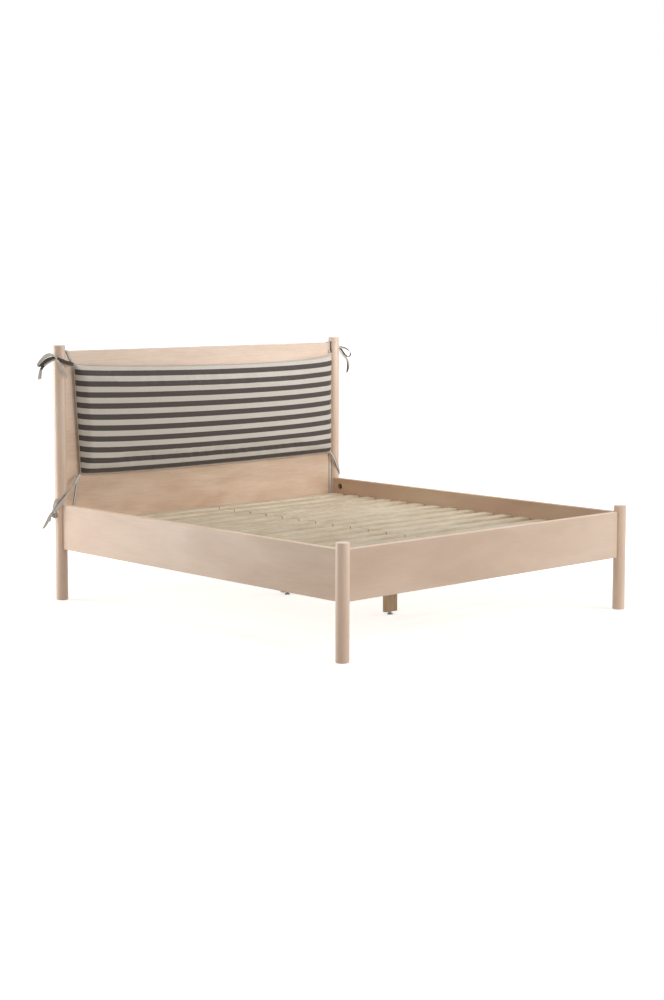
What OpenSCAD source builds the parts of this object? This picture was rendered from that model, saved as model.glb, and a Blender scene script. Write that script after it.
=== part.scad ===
// Double platform bed in pale solid wood: four round posts, plain rails, a flat
// headboard panel with a striped pad tied to it, and slats in two rows over a
// centre beam. Millimetres. +X is the bed's right seen from the foot, +Y points
// to the head and +Z up. The origin is on the floor, in the middle of the bed.

/* [Mattress] */
// Width of the mattress that lies between the side rails
mattress_w = 1800; // [1600:10:2000]
// Length of the mattress
mattress_l = 2000; // [1900:10:2100]
// Sideways play of the mattress, both sides together
play_w = 17; // [8:1:40]
// Lengthwise play of the mattress, both ends together
play_l = 36; // [20:1:60]

/* [Posts] */
// Diameter of the round posts
post_d = 61; // [58:0.5:66]
// Height of the two head posts
head_post_h = 1281; // [1271:1:1400]
// Height of the two foot posts
foot_post_h = 515; // [495:1:700]
// Rounding of the posts' ends
post_round = 4; // [2:0.5:6]
// Depth of the flat seat that is milled for each rail end
seat_depth = 3.5; // [2.5:0.25:5]

/* [Rails] */
// Thickness of the side rails and the foot rail
rail_t = 31; // [29:0.5:34]
// Height of the rails' section
rail_h = 225; // [215:1:240]
// Height of the rails' top edge above the floor
rail_top = 483; // [470:1:500]
// How far the rails' outer faces stand outside the posts' axes
rail_out = 8; // [6:0.5:10]
// Rounding of the rails' long edges
rail_round = 2.5; // [1:0.5:4]

/* [Headboard panel] */
// Thickness of the panel
panel_t = 22; // [18:0.5:26]
// Height of the panel's top edge above the floor
panel_top = 1252; // [1240:1:1265]
// Height of the panel's bottom edge above the floor
panel_bottom = 258; // [240:1:290]
// Depth of the posts' grooves that hold the panel's ends
groove_depth = 14; // [12:0.5:16]
// Rounding of the panel's long edges
panel_round = 3; // [1:0.5:5]

/* [Slats] */
// Number of slat rows between head and foot
slat_rows = 16; // [14:1:17]
// Width of a slat
slat_w = 62; // [55:1:68]
// Thickness of a slat
slat_t = 15; // [12:0.5:18]
// Depth of the slats' top faces below the rails' top edges
deck_drop = 83; // [78:1:90]
// Gap between the two slats of a row, over the centre beam
slat_gap = 4; // [2:0.5:8]
// Gap between a slat's outer end and its rail
slat_end_gap = 2; // [1:0.5:4]
// Space between the foot rail and the first slat
deck_foot_gap = 26.6; // [20:0.2:32]
// Space between the last slat and the headboard panel
deck_head_gap = 38.6; // [30:0.2:46]

/* [Slat supports] */
// Width of the ledgers on the side rails
ledger_w = 28; // [24:1:34]
// Height of the ledgers
ledger_h = 35; // [30:1:38]
// Space between a ledger's end and the end of its rail
ledger_end_gap = 8; // [6:1:14]
// Number of screws in each ledger
ledger_screw_count = 8; // [7:1:9]
// Width of the centre beam
beam_w = 70; // [64:1:80]
// Height of the centre beam
beam_h = 60; // [54:1:66]
// Distance of each centre leg from the middle of the bed
leg_y = 376; // [340:1:420]
// Width of a centre leg
leg_w = 76; // [70:1:84]
// Thickness of a centre leg
leg_t = 27; // [25:0.5:32]
// Height of the centre legs' ends above the floor
leg_clear = 15; // [14:0.5:18]

/* [Rail hardware] */
// Diameter of the rail bolts
bolt_d = 8; // [7:0.5:9]
// Length of a rail bolt inside its post
bolt_embed = 22; // [18:1:24]
// Diameter of the round pockets for the nuts
pocket_d = 34; // [32:0.5:36]
// Distance of a pocket's centre from the rail's end
pocket_setback = 52; // [48:1:58]
// Wood left between a pocket's floor and the rail's outer face
pocket_web = 7; // [5:0.5:8]
// Distance of the side rails' bolts from the rail's edges
bolt_edge = 46; // [44:1:52]
// Height step between the side rails' bolts and the foot rail's bolts
bolt_stagger = 30; // [26:1:32]
// Distance of the crescent washers' flat face from the pocket's centre
washer_flat = 10; // [9:0.5:11]
// Length of the crescent washers along the pocket
washer_l = 16; // [14:0.5:17]
// Width across flats of the rail nuts
nut_af = 13; // [12:0.5:14]
// Height of the rail nuts
nut_h = 6.5; // [5.5:0.5:8]
// Diameter of the rail dowels
dowel_d = 10; // [8:0.5:12]
// Length of a rail dowel inside the rail
dowel_rail = 30; // [24:1:36]
// Length of a rail dowel inside the post
dowel_post = 20; // [16:1:22]
// Height of the foot rail's dowels above the rail's lower edge
foot_dowel_up = 17; // [14:1:20]

/* [Panel dowels] */
// Diameter of the dowels in the panel's ends
peg_d = 8; // [6:0.5:10]
// Length of these dowels inside the panel
peg_panel = 26; // [20:1:32]
// Length of these dowels inside the post
peg_post = 11; // [9:0.5:12]
// Number of these dowels at each end of the panel
peg_count = 5; // [4:1:6]

/* [Screws and brackets] */
// Diameter of the wood screws
screw_d = 4; // [3.5:0.25:4.5]
// Diameter of the screws' heads
screw_head_d = 8; // [7.5:0.25:9]
// Length of the slat screws
slat_screw_l = 36; // [32:1:40]
// Length of the ledger screws
ledger_screw_l = 46; // [42:1:50]
// Length of the screws in the beam's steel fittings
fitting_screw_l = 20; // [16:1:24]
// Length of the screws in the centre legs
leg_screw_l = 12; // [10:0.5:12.5]
// Thickness of the steel of hangers and angle brackets
steel_t = 2.5; // [2:0.25:3]
// Reach of a hanger's seat under the beam
hanger_reach = 50; // [40:1:60]
// Width of a hanger's screw flanges
hanger_flange = 24; // [22:1:30]
// Height of a hanger above the beam's underside
hanger_h = 50; // [44:1:53]
// Length of each arm of the angle brackets
bracket_arm = 40; // [34:1:46]
// Width of the angle brackets
bracket_w = 50; // [44:1:60]

/* [Levelling feet] */
// Diameter of the levelling feet's pads
foot_d = 28; // [24:1:32]
// Thickness of the pads
foot_t = 5.5; // [5:0.25:6]
// Diameter of the feet's threaded studs
stud_d = 8; // [7:0.5:9]
// Width across flats of the studs' hexagonal collars
collar_af = 17; // [15:0.5:19]
// Height of the collars
collar_h = 3.8; // [3:0.2:4.2]
// Height of the studs' upper ends above the floor
stud_top = 57; // [54:1:60]
// Outer diameter of the threaded inserts in the centre legs
insert_d = 12; // [11:0.5:14]
// Length of the threaded inserts
insert_l = 20; // [16:1:24]

/* [Headboard pad] */
// Space between the pad's upper left corner and the left post
pad_left_gap = 39; // [12:1:60]
// Space between the pad's upper right corner and the right post
pad_right_gap = 15; // [12:1:60]
// Space between the pad's lower left corner and the left post
pad_low_left_gap = 74; // [12:1:90]
// Space between the pad's lower right corner and the right post
pad_low_right_gap = 18; // [12:1:90]
// Height of the pad between its tied corners
pad_h = 556; // [500:1:580]
// Thickness of the pad in its middle
pad_t = 58; // [50:1:64]
// Height of the pad's top corners above the floor
pad_top = 1190; // [1176:1:1196]
// How far the top edge sags between its tied corners
pad_sag = 35; // [10:1:45]
// How far the bottom edge sags between its tied corners
pad_droop = 14; // [4:1:24]
// Distance of the edge seam from the pad's back
pad_rim = 14; // [10:1:20]
// Width of the pad's rounded border
pad_edge = 45; // [30:1:60]

/* [Tie tapes] */
// Width of the fabric tie tapes
tape_w = 20; // [16:1:24]
// Thickness of the folded tapes
tape_t = 1.6; // [1.2:0.2:2]
// Radius of the ties' knots
knot_r = 8; // [6:0.5:8.5]

/* [Hidden] */
SIDES = [-1, 1];
round_fn = 64;
small_fn = 24;
knot_fn = 12;
overcut = 1;             // how far a cutter runs past a face
screw_play = 0.05;       // radial play of screws, bolts, studs and dowels
soft_gap = 0.3;          // space between a soft piece and what it lies on
fit_gap = 0.15;          // space on each side of a glued or slotted joint
steel_colour = [0.72, 0.73, 0.75];
wood_colour = [0.83, 0.70, 0.58];
panel_colour = [0.80, 0.66, 0.53];
slat_colour = [0.82, 0.77, 0.65];
hidden_wood_colour = [0.72, 0.58, 0.44];
fabric_colour = [0.55, 0.52, 0.49];
tape_colour = [0.62, 0.59, 0.55];

// Frame: places that follow from the sizes above
post_r = post_d / 2;
rail_in = rail_t - rail_out;                       // inner faces inside the post axes
post_x = (mattress_w + play_w) / 2 + rail_in;
clear_l = mattress_l + play_l;
post_y = (clear_l + rail_in + panel_t / 2) / 2;
rail_bottom = rail_top - rail_h;
seat_r = post_r - seat_depth;                      // seat planes from the post axes
side_mid_x = post_x + rail_out - rail_t / 2;
foot_mid_y = post_y + rail_out - rail_t / 2;
side_inner_x = post_x - rail_in;
foot_inner_y = -(post_y - rail_in);
panel_front_y = post_y - panel_t / 2;
side_rail_l = 2 * (post_y - seat_r);
foot_rail_l = 2 * (post_x - seat_r);

// Rail hardware
bolt_bore = bolt_d + 2 * screw_play;
pocket_depth = rail_t - pocket_web;
side_bolt_z = [rail_bottom + bolt_edge, rail_top - bolt_edge];
foot_bolt_z = [side_bolt_z[0] + bolt_stagger, side_bolt_z[1] - bolt_stagger];
side_dowel_z = (side_bolt_z[0] + side_bolt_z[1]) / 2;
foot_dowel_z = rail_bottom + foot_dowel_up;
bolt_past_nut = 2;
washer_inset = 0.2;

// Panel joint
groove_floor = post_r - groove_depth;              // groove floors from the post axes
panel_l = 2 * (post_x - groove_floor - fit_gap);
peg_edge = 92;
peg_pitch = (panel_top - panel_bottom - 2 * peg_edge) / (peg_count - 1);

// Deck
deck_z = rail_top - deck_drop;
slat_bottom = deck_z - slat_t;
slat_l = side_inner_x - slat_end_gap - slat_gap / 2;
slat_round = 2;
first_slat_y = foot_inner_y + deck_foot_gap + slat_w / 2;
last_slat_y = panel_front_y - deck_head_gap - slat_w / 2;
slat_pitch = (last_slat_y - first_slat_y) / (slat_rows - 1);
ledger_l = side_rail_l - 2 * ledger_end_gap;
ledger_x = side_inner_x - ledger_w / 2;
ledger_round = 1;
outer_screw_x = side_inner_x - slat_end_gap - (ledger_w - slat_end_gap) / 2;
inner_screw_x = slat_gap / 2 + (beam_w - slat_gap) / 4;
ledger_screw_bay_count = 2;                        // slat bays from screw to screw
ledger_screw_z = slat_bottom - ledger_h / 2;

// Beam and its legs
beam_bottom = slat_bottom - beam_h;
beam_end_gap = 0.5;
beam_foot_y = foot_inner_y + steel_t + beam_end_gap;
beam_head_y = panel_front_y - steel_t - beam_end_gap;
beam_round = 1.5;
leg_round = 4;
stud_bore = stud_d + 2 * screw_play;
stud_hole_spare = 14;                              // room above a stud when it is screwed in
stud_hole_top = stud_top + stud_hole_spare;
bracket_screw_edge = 10;                           // from a bracket's side edge
bracket_screw_end = 12;                            // from the end of a bracket's arm
bracket_screw_x = bracket_w / 2 - bracket_screw_edge;
bracket_hole_out = bracket_arm - bracket_screw_end;
hanger_cheek_x = beam_w / 2 + soft_gap;
hanger_screw_x = hanger_cheek_x + steel_t + hanger_flange / 2;
hanger_screw_edge = 10;                            // from a hanger's upper and lower edges
hanger_screw_z = [beam_bottom + hanger_screw_edge, beam_bottom + hanger_h - hanger_screw_edge];
socket_floor = 2.5;                                // floor of the stud's socket in its pad

// Pad
pad_bottom = pad_top - pad_h;
pad_back_y = panel_front_y - soft_gap;
pad_crown = 0.14;                                  // share of its depth lost to the corners
pad_sag_skew = 0.3;                                // how far the sag leans to the right
pad_cols = 36;
pad_rows = 14;
panel_clear_x = post_x - post_r;                   // half the panel's free width
pad_left = [-panel_clear_x + pad_low_left_gap, -panel_clear_x + pad_left_gap];
pad_right = [panel_clear_x - pad_low_right_gap, panel_clear_x - pad_right_gap];

function slat_name(row) = str("slat_row_", row < 10 ? "0" : "", row);
function slat_y(row) = first_slat_y + (row - 1) * slat_pitch;

// ---------------------------------------------------------------- helpers

// Corner points of a rectangle with rounded corners, centred on the origin
function rounded_rect(w, h, r, steps = 4) =
    [for (q = [0 : 3], i = [0 : steps])
        let (a = 90 * q + 90 * i / steps,
             cx = (q == 0 || q == 3 ? 1 : -1) * (w / 2 - r),
             cy = (q < 2 ? 1 : -1) * (h / 2 - r))
        [cx + r * cos(a), cy + r * sin(a)]];

module bar_along_y(w, h, l, r) {
    translate([0, l / 2, 0]) rotate([90, 0, 0])
        linear_extrude(l) polygon(rounded_rect(w, h, r));
}

module bar_along_x(w, h, l, r) {
    rotate([0, 0, 90]) bar_along_y(w, h, l, r);
}

module bar_along_z(w, h, l, r) {
    linear_extrude(l) polygon(rounded_rect(w, h, r));
}

module flip_x(on) {
    if (on) mirror([1, 0, 0]) children();
    else children();
}

module flip_y(on) {
    if (on) mirror([0, 1, 0]) children();
    else children();
}

// Cylinders along one axis, starting at the origin
module rod_x(d, l, fn = small_fn) rotate([0, 90, 0]) cylinder(d = d, h = l, $fn = fn);
module rod_y(d, l, fn = small_fn) rotate([-90, 0, 0]) cylinder(d = d, h = l, $fn = fn);
module rod_z(d, l, fn = small_fn) cylinder(d = d, h = l, $fn = fn);

// Joint frames: the origin is on a post's seat plane in the middle of the rail's
// thickness and at floor height, +y runs into the post and +x to the bed's inside
module side_joint(side, end) {
    translate([side * side_mid_x, end * (post_y - seat_r), 0])
        flip_x(side > 0) flip_y(end < 0) children();
}

module foot_joint(side) {
    translate([side * (post_x - seat_r), -foot_mid_y, 0])
        flip_x(side < 0) mirror([1, -1, 0]) children();
}

// Repeats its children at all rail bolts
module at_bolts() {
    for (side = SIDES, end = SIDES, z = side_bolt_z)
        side_joint(side, end) translate([0, 0, z]) children();
    for (side = SIDES, z = foot_bolt_z)
        foot_joint(side) translate([0, 0, z]) children();
}

// Countersunk wood screw, its head's flat top at z = 0 and its point below
module flush_screw(l) {
    head_h = (screw_head_d - screw_d) / 2;
    tip_h = screw_d;
    rotate_extrude($fn = small_fn)
        polygon([[0, 0], [screw_head_d / 2, 0], [screw_d / 2, -head_h],
                 [screw_d / 2, tip_h - l], [0.2, -l], [0, -l]]);
}

// Hole for such a screw, with its countersink
module flush_screw_hole(l) {
    head_h = (screw_head_d - screw_d) / 2;
    r = screw_d / 2 + screw_play;
    rotate_extrude($fn = small_fn)
        polygon([[0, overcut], [screw_head_d / 2 + screw_play + overcut, overcut],
                 [r, -head_h], [r, -l - screw_play], [0, -l - screw_play]]);
}

// Pan-head screw, the underside of its head at z = 0 and its point below
module pan_screw(l) {
    head_h = screw_d * 0.6;
    tip_h = screw_d;
    rotate_extrude($fn = small_fn)
        polygon([[0, head_h], [screw_head_d / 2 - 1, head_h],
                 [screw_head_d / 2, head_h - 1], [screw_head_d / 2, 0],
                 [screw_d / 2, 0], [screw_d / 2, tip_h - l], [0.2, -l], [0, -l]]);
}

module screw_bore(l) {
    translate([0, 0, -l - screw_play]) rod_z(screw_d + 2 * screw_play, l + overcut);
}

// ---------------------------------------------------------------- posts

// Turned post with rounded ends
module post_blank(h) {
    profile = concat(
        [[0, 0]],
        [for (i = [0 : 5]) let (a = -90 + 18 * i)
            [post_r - post_round + post_round * cos(a), post_round + post_round * sin(a)]],
        [for (i = [0 : 5]) let (a = 18 * i)
            [post_r - post_round + post_round * cos(a),
             h - post_round + post_round * sin(a)]],
        [[0, h]]);
    rotate_extrude($fn = round_fn) polygon(profile);
}

// Cuts for one rail end, in a joint frame
module rail_end_seat(bolt_heights, dowel_height) {
    translate([-post_d, -post_d, rail_bottom]) cube([2 * post_d, post_d, rail_h]);
    for (z = bolt_heights)
        translate([0, -overcut, z]) rod_y(bolt_bore, bolt_embed + overcut + fit_gap);
    translate([0, -overcut, dowel_height])
        rod_y(dowel_d + 2 * screw_play, dowel_post + overcut + fit_gap);
}

module head_post(side) {
    groove_w = panel_t + 2 * fit_gap;
    difference() {
        translate([side * post_x, post_y, 0]) post_blank(head_post_h);
        side_joint(side, 1) rail_end_seat(side_bolt_z, side_dowel_z);
        translate([side * post_x, post_y, panel_bottom - fit_gap])
            flip_x(side > 0)
                translate([groove_floor, -groove_w / 2, 0])
                    cube([post_r, groove_w, panel_top - panel_bottom + 2 * fit_gap]);
        at_pegs(side) translate([-overcut, 0, 0])
            rod_x(peg_d + 2 * screw_play, peg_post + overcut + fit_gap);
    }
}

module foot_post(side) {
    difference() {
        translate([side * post_x, -post_y, 0]) post_blank(foot_post_h);
        side_joint(side, -1) rail_end_seat(side_bolt_z, side_dowel_z);
        foot_joint(side) rail_end_seat(foot_bolt_z, foot_dowel_z);
    }
}

// Repeats its children at the groove floor of one post, +x into the post
module at_pegs(side) {
    for (i = [0 : peg_count - 1])
        translate([side * (post_x - groove_floor), post_y,
                   panel_bottom + peg_edge + i * peg_pitch])
            flip_x(side < 0) children();
}

module head_post_left() color(wood_colour) head_post(-1);
module head_post_right() color(wood_colour) head_post(1);
module foot_post_left() color(wood_colour) foot_post(-1);
module foot_post_right() color(wood_colour) foot_post(1);

// ---------------------------------------------------------------- panel and rails

module headboard_panel() {
    panel_h = panel_top - panel_bottom;
    color(panel_colour) difference() {
        translate([0, post_y, panel_bottom + panel_h / 2])
            bar_along_x(panel_t, panel_h, panel_l, panel_round);
        for (side = SIDES)
            at_pegs(side) translate([-peg_panel - fit_gap, 0, 0])
                rod_x(peg_d + 2 * screw_play, peg_panel + overcut);
        translate([0, panel_front_y, 0]) hanger_screw_bores();
    }
}

// Bores and pockets in one end of a rail, in a joint frame
module rail_end_cuts(bolt_heights, dowel_height) {
    for (z = bolt_heights) {
        translate([rail_t / 2 - pocket_depth, -pocket_setback, z])
            rod_x(pocket_d, pocket_depth + overcut, round_fn);
        translate([0, -pocket_setback, z])
            rod_y(bolt_bore + 0.8, pocket_setback + overcut);
    }
    translate([0, -dowel_rail - fit_gap, dowel_height])
        rod_y(dowel_d + 2 * screw_play, dowel_rail + fit_gap + overcut);
}

module side_rail(side) {
    difference() {
        translate([side * side_mid_x, 0, rail_bottom + rail_h / 2])
            bar_along_y(rail_t, rail_h, side_rail_l, rail_round);
        for (end = SIDES)
            side_joint(side, end) rail_end_cuts(side_bolt_z, side_dowel_z);
        at_ledger_screws(side) screw_bore(ledger_screw_l);
    }
}

module side_rail_left() color(wood_colour) side_rail(-1);
module side_rail_right() color(wood_colour) side_rail(1);

module foot_rail() {
    color(wood_colour) difference() {
        translate([0, -foot_mid_y, rail_bottom + rail_h / 2])
            bar_along_x(rail_t, rail_h, foot_rail_l, rail_round);
        for (side = SIDES)
            foot_joint(side) rail_end_cuts(foot_bolt_z, foot_dowel_z);
        translate([0, foot_inner_y, 0]) flip_y(true) hanger_screw_bores();
    }
}

// ---------------------------------------------------------------- rail hardware

module rail_bolts() {
    bolt_back = pocket_setback - washer_flat + nut_h + bolt_past_nut;
    color(steel_colour) at_bolts()
        translate([0, -bolt_back, 0]) rod_y(bolt_d, bolt_back + bolt_embed);
}

// Half-moon washer that fills the pocket's round wall behind the nut
module crescent_washers() {
    color(steel_colour) at_bolts() difference() {
        translate([-washer_l / 2, -pocket_setback, 0])
            rod_x(pocket_d - 2 * washer_inset, washer_l, round_fn);
        translate([-pocket_d, -pocket_setback - pocket_d + washer_flat, -pocket_d])
            cube([2 * pocket_d, pocket_d, 2 * pocket_d]);
        translate([0, -pocket_setback, 0]) rod_y(bolt_bore + 0.4, pocket_d);
    }
}

module rail_nuts() {
    color(steel_colour) at_bolts()
        translate([0, -pocket_setback + washer_flat - nut_h, 0]) difference() {
            rod_y(nut_af / cos(30), nut_h, 6);
            translate([0, -overcut, 0]) rod_y(bolt_bore, nut_h + 2 * overcut);
        }
}

module rail_dowel() {
    translate([0, -dowel_rail, 0]) rod_y(dowel_d, dowel_rail + dowel_post);
}

module rail_dowels() {
    color(hidden_wood_colour) {
        for (side = SIDES, end = SIDES)
            side_joint(side, end) translate([0, 0, side_dowel_z]) rail_dowel();
        for (side = SIDES)
            foot_joint(side) translate([0, 0, foot_dowel_z]) rail_dowel();
    }
}

module panel_dowels() {
    color(hidden_wood_colour)
        for (side = SIDES)
            at_pegs(side) translate([-peg_panel, 0, 0]) rod_x(peg_d, peg_panel + peg_post);
}

// ---------------------------------------------------------------- slats

// Repeats its children at the slat screws of one row, one pair for each half
module at_slat_screws(row) {
    for (side = SIDES, x = [inner_screw_x, outer_screw_x])
        translate([side * x, slat_y(row), deck_z]) children();
}

module slat_row(row) {
    color(slat_colour) difference() {
        for (side = SIDES)
            translate([side * (slat_gap + slat_l) / 2, slat_y(row), deck_z - slat_t / 2])
                bar_along_x(slat_w, slat_t, slat_l, slat_round);
        at_slat_screws(row) flush_screw_hole(slat_screw_l);
    }
}

module slat_screws() {
    color(steel_colour)
        for (row = [1 : slat_rows]) at_slat_screws(row) flush_screw(slat_screw_l);
}

// Repeats its children at the ledger screws of one side, heads on the ledger's
// inner face and points in the rail, each screw midway between two slats
module at_ledger_screws(side) {
    first = floor((slat_rows - 1 - (ledger_screw_count - 1) * ledger_screw_bay_count) / 2) + 1;
    for (i = [0 : ledger_screw_count - 1]) {
        row = first + i * ledger_screw_bay_count;
        translate([side * (side_inner_x - ledger_w), slat_y(row) + slat_pitch / 2,
                   ledger_screw_z])
            flip_x(side < 0) rotate([0, -90, 0]) children();
    }
}

module ledger(side) {
    difference() {
        translate([side * ledger_x, 0, slat_bottom - ledger_h / 2])
            bar_along_y(ledger_w, ledger_h, ledger_l, ledger_round);
        at_ledger_screws(side) flush_screw_hole(ledger_screw_l);
        for (row = [1 : slat_rows]) at_slat_screws(row) screw_bore(slat_screw_l);
    }
}

module ledger_left() color(hidden_wood_colour) ledger(-1);
module ledger_right() color(hidden_wood_colour) ledger(1);

module ledger_screws() {
    color(steel_colour)
        for (side = SIDES) at_ledger_screws(side) flush_screw(ledger_screw_l);
}

// ---------------------------------------------------------------- beam and fittings

module centre_beam() {
    beam_l = beam_head_y - beam_foot_y;
    color(hidden_wood_colour) difference() {
        translate([0, (beam_head_y + beam_foot_y) / 2, slat_bottom - beam_h / 2])
            bar_along_y(beam_w, beam_h, beam_l, beam_round);
        for (row = [1 : slat_rows]) at_slat_screws(row) screw_bore(slat_screw_l);
        at_beam_screws() screw_bore(fitting_screw_l);
    }
}

// Sheet-steel hanger with its back on a wall at y = 0 and its seat towards +y
module hanger() {
    flange_w = 2 * (hanger_cheek_x + steel_t + hanger_flange);
    difference() {
        union() {
            translate([-flange_w / 2, 0, beam_bottom - steel_t])
                cube([flange_w, steel_t, hanger_h + steel_t]);
            translate([-hanger_cheek_x - steel_t, 0, beam_bottom - steel_t])
                cube([2 * (hanger_cheek_x + steel_t), hanger_reach, steel_t]);
            for (side = SIDES)
                translate([side * (hanger_cheek_x + steel_t / 2) - steel_t / 2, 0,
                           beam_bottom - steel_t])
                    cube([steel_t, hanger_reach, hanger_h + steel_t]);
        }
        for (side = SIDES, z = hanger_screw_z)
            translate([side * hanger_screw_x, -overcut, z])
                rod_y(screw_d + 4 * screw_play, steel_t + 2 * overcut);
    }
}

// Repeats its children at a hanger's screws, heads on its flanges, points to -y
module at_hanger_screws() {
    for (side = SIDES, z = hanger_screw_z)
        translate([side * hanger_screw_x, steel_t, z]) rotate([-90, 0, 0]) children();
}

// Bores behind a hanger whose wall is at y = 0, cut from the wall towards +y
module hanger_screw_bores() {
    flip_y(true) at_hanger_screws() screw_bore(hanger_screw_l());
}

function hanger_screw_l() = min(fitting_screw_l, panel_t + steel_t - 4);

module place_hanger(end) {
    if (end > 0) translate([0, panel_front_y, 0]) flip_y(true) children();
    else translate([0, foot_inner_y, 0]) children();
}

module beam_hanger_head() color(steel_colour) place_hanger(1) hanger();
module beam_hanger_foot() color(steel_colour) place_hanger(-1) hanger();

module hanger_screws() {
    color(steel_colour)
        for (end = SIDES)
            place_hanger(end) at_hanger_screws() pan_screw(hanger_screw_l());
}

// ---------------------------------------------------------------- centre legs

module centre_leg(end) {
    difference() {
        translate([0, end * leg_y, leg_clear])
            bar_along_z(leg_w, leg_t, beam_bottom - leg_clear, leg_round);
        translate([0, end * leg_y, leg_clear - overcut])
            rod_z(insert_d + 2 * screw_play, insert_l + overcut);
        translate([0, end * leg_y, leg_clear])
            rod_z(stud_bore + 1, stud_hole_top - leg_clear);
        at_leg_screws(end) screw_bore(leg_screw_l);
    }
}

module centre_leg_front() color(hidden_wood_colour) centre_leg(-1);
module centre_leg_rear() color(hidden_wood_colour) centre_leg(1);

// Angle bracket frames of one leg: y = 0 on the leg's face, +y away from it,
// z = 0 at the beam's underside
module at_brackets(end) {
    for (face = SIDES)
        translate([0, end * leg_y + face * leg_t / 2, beam_bottom])
            flip_y(face < 0) children();
}

module angle_bracket() {
    difference() {
        union() {
            translate([-bracket_w / 2, 0, -steel_t]) cube([bracket_w, bracket_arm, steel_t]);
            translate([-bracket_w / 2, 0, -bracket_arm]) cube([bracket_w, steel_t, bracket_arm]);
        }
        for (side = SIDES) {
            translate([side * bracket_screw_x, bracket_hole_out, -steel_t - overcut])
                rod_z(screw_d + 4 * screw_play, steel_t + 2 * overcut);
            translate([side * bracket_screw_x, -overcut, -bracket_hole_out])
                rod_y(screw_d + 4 * screw_play, steel_t + 2 * overcut);
        }
    }
}

module leg_brackets() {
    color(steel_colour) for (end = SIDES) at_brackets(end) angle_bracket();
}

// Repeats its children at the screws that run up into the beam
module at_beam_screws() {
    for (end = SIDES) at_brackets(end)
        for (side = SIDES)
            translate([side * bracket_screw_x, bracket_hole_out, -steel_t])
                rotate([180, 0, 0]) children();
}

// Repeats its children at the screws that run into one leg
module at_leg_screws(end) {
    at_brackets(end)
        for (side = SIDES)
            translate([side * bracket_screw_x, steel_t, -bracket_hole_out])
                rotate([-90, 0, 0]) children();
}

module bracket_screws() {
    color(steel_colour) {
        at_beam_screws() pan_screw(fitting_screw_l);
        for (end = SIDES) at_leg_screws(end) pan_screw(leg_screw_l);
    }
}

module leg_inserts() {
    color(steel_colour) for (end = SIDES)
        translate([0, end * leg_y, leg_clear]) difference() {
            rod_z(insert_d, insert_l, round_fn);
            translate([0, 0, -overcut]) rod_z(stud_bore, insert_l + 2 * overcut, round_fn);
        }
}

module levelling_pad(end) {
    edge = 1;
    translate([0, end * leg_y, 0]) difference() {
        rotate_extrude($fn = round_fn)
            polygon([[0, 0], [foot_d / 2 - edge / 2, 0], [foot_d / 2, edge / 2],
                     [foot_d / 2, foot_t - edge], [foot_d / 2 - edge, foot_t], [0, foot_t]]);
        translate([0, 0, socket_floor]) rod_z(stud_bore, foot_t, round_fn);
    }
}

module levelling_stud(end) {
    translate([0, end * leg_y, socket_floor + screw_play]) {
        rod_z(stud_d, stud_top - socket_floor - screw_play, round_fn);
        translate([0, 0, foot_t - socket_floor])
            rod_z(collar_af / cos(30), collar_h, 6);
    }
}

module levelling_pad_front() color(steel_colour) levelling_pad(-1);
module levelling_pad_rear() color(steel_colour) levelling_pad(1);
module levelling_stud_front() color(steel_colour) levelling_stud(-1);
module levelling_stud_rear() color(steel_colour) levelling_stud(1);

// ---------------------------------------------------------------- headboard pad

// Share of the full depth at a distance from the pad's edge
function edge_rise(d) = d >= pad_edge ? 1 : sqrt(1 - pow(1 - d / pad_edge, 2));

// Height of the pad's outline across its width: share 1 is its top, 0 its bottom
function pad_outline_z(s, share) =
    let (bow = sqrt(max(0, 1 - s * s)),
         top = pad_top - pad_sag * bow * (1 + pad_sag_skew * s),
         bottom = pad_bottom - pad_droop * bow * (1 - pad_sag_skew * s))
    bottom + share * (top - bottom);

// One point of the pad's skin: s and t run from -1 to 1, back is 1 on its back
function pad_point(s, t, back) =
    let (share = (t + 1) / 2,
         left = pad_left[0] + share * (pad_left[1] - pad_left[0]),
         right = pad_right[0] + share * (pad_right[1] - pad_right[0]),
         half_w = (right - left) / 2,
         centre = (right + left) / 2,
         rise = edge_rise(half_w * (1 - abs(s))) * edge_rise(pad_h / 2 * (1 - abs(t))),
         crown = 1 - pad_crown * (1 - (1 - s * s) * (1 - t * t)),
         seam_y = pad_back_y - pad_rim,
         y = back == 1 ? seam_y + rise * pad_rim
                       : seam_y - rise * crown * (pad_t - pad_rim))
    [centre + s * half_w, y, pad_outline_z(s, share)];

module headboard_pad() {
    cols = pad_cols + 1;
    skin = cols * (pad_rows + 1);
    grid = [for (back = [0, 1], j = [0 : pad_rows], i = [0 : pad_cols])
        pad_point(-cos(180 * i / pad_cols), -cos(180 * j / pad_rows), back)];
    on_edge = function (i, j) i == 0 || j == 0 || i == pad_cols || j == pad_rows;
    at = function (back, i, j) j * cols + i + (back == 1 && !on_edge(i, j) ? skin : 0);
    // each cell's diagonal points to the pad's nearest corner
    faces = [for (back = [0, 1], j = [0 : pad_rows - 1], i = [0 : pad_cols - 1])
        let (a = at(back, i, j), b = at(back, i + 1, j),
             c = at(back, i + 1, j + 1), d = at(back, i, j + 1),
             rising = (i < pad_cols / 2) == (j < pad_rows / 2),
             cell = rising ? [[a, b, c], [a, c, d]] : [[a, b, d], [b, c, d]])
        each back == 1 ? cell : [for (f = cell) [f[2], f[1], f[0]]]];
    color(fabric_colour) polyhedron(grid, faces);
}

// ---------------------------------------------------------------- tie tapes

// Half section of a flat tape, in halves of its width and its thickness
TAPE_SECTION = [[-1, -0.5], [-0.9, -1], [0.9, -1], [1, -0.5],
                [1, 0.5], [0.9, 1], [-0.9, 1], [-1, 0.5]];

function unit(v) = v / norm(v);

// A route entry is [point, direction of the tape's width, share of its full width].
// With ROUND as the direction, the tape lies flat against the post.
ROUND = [0, 0, 0];

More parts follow.
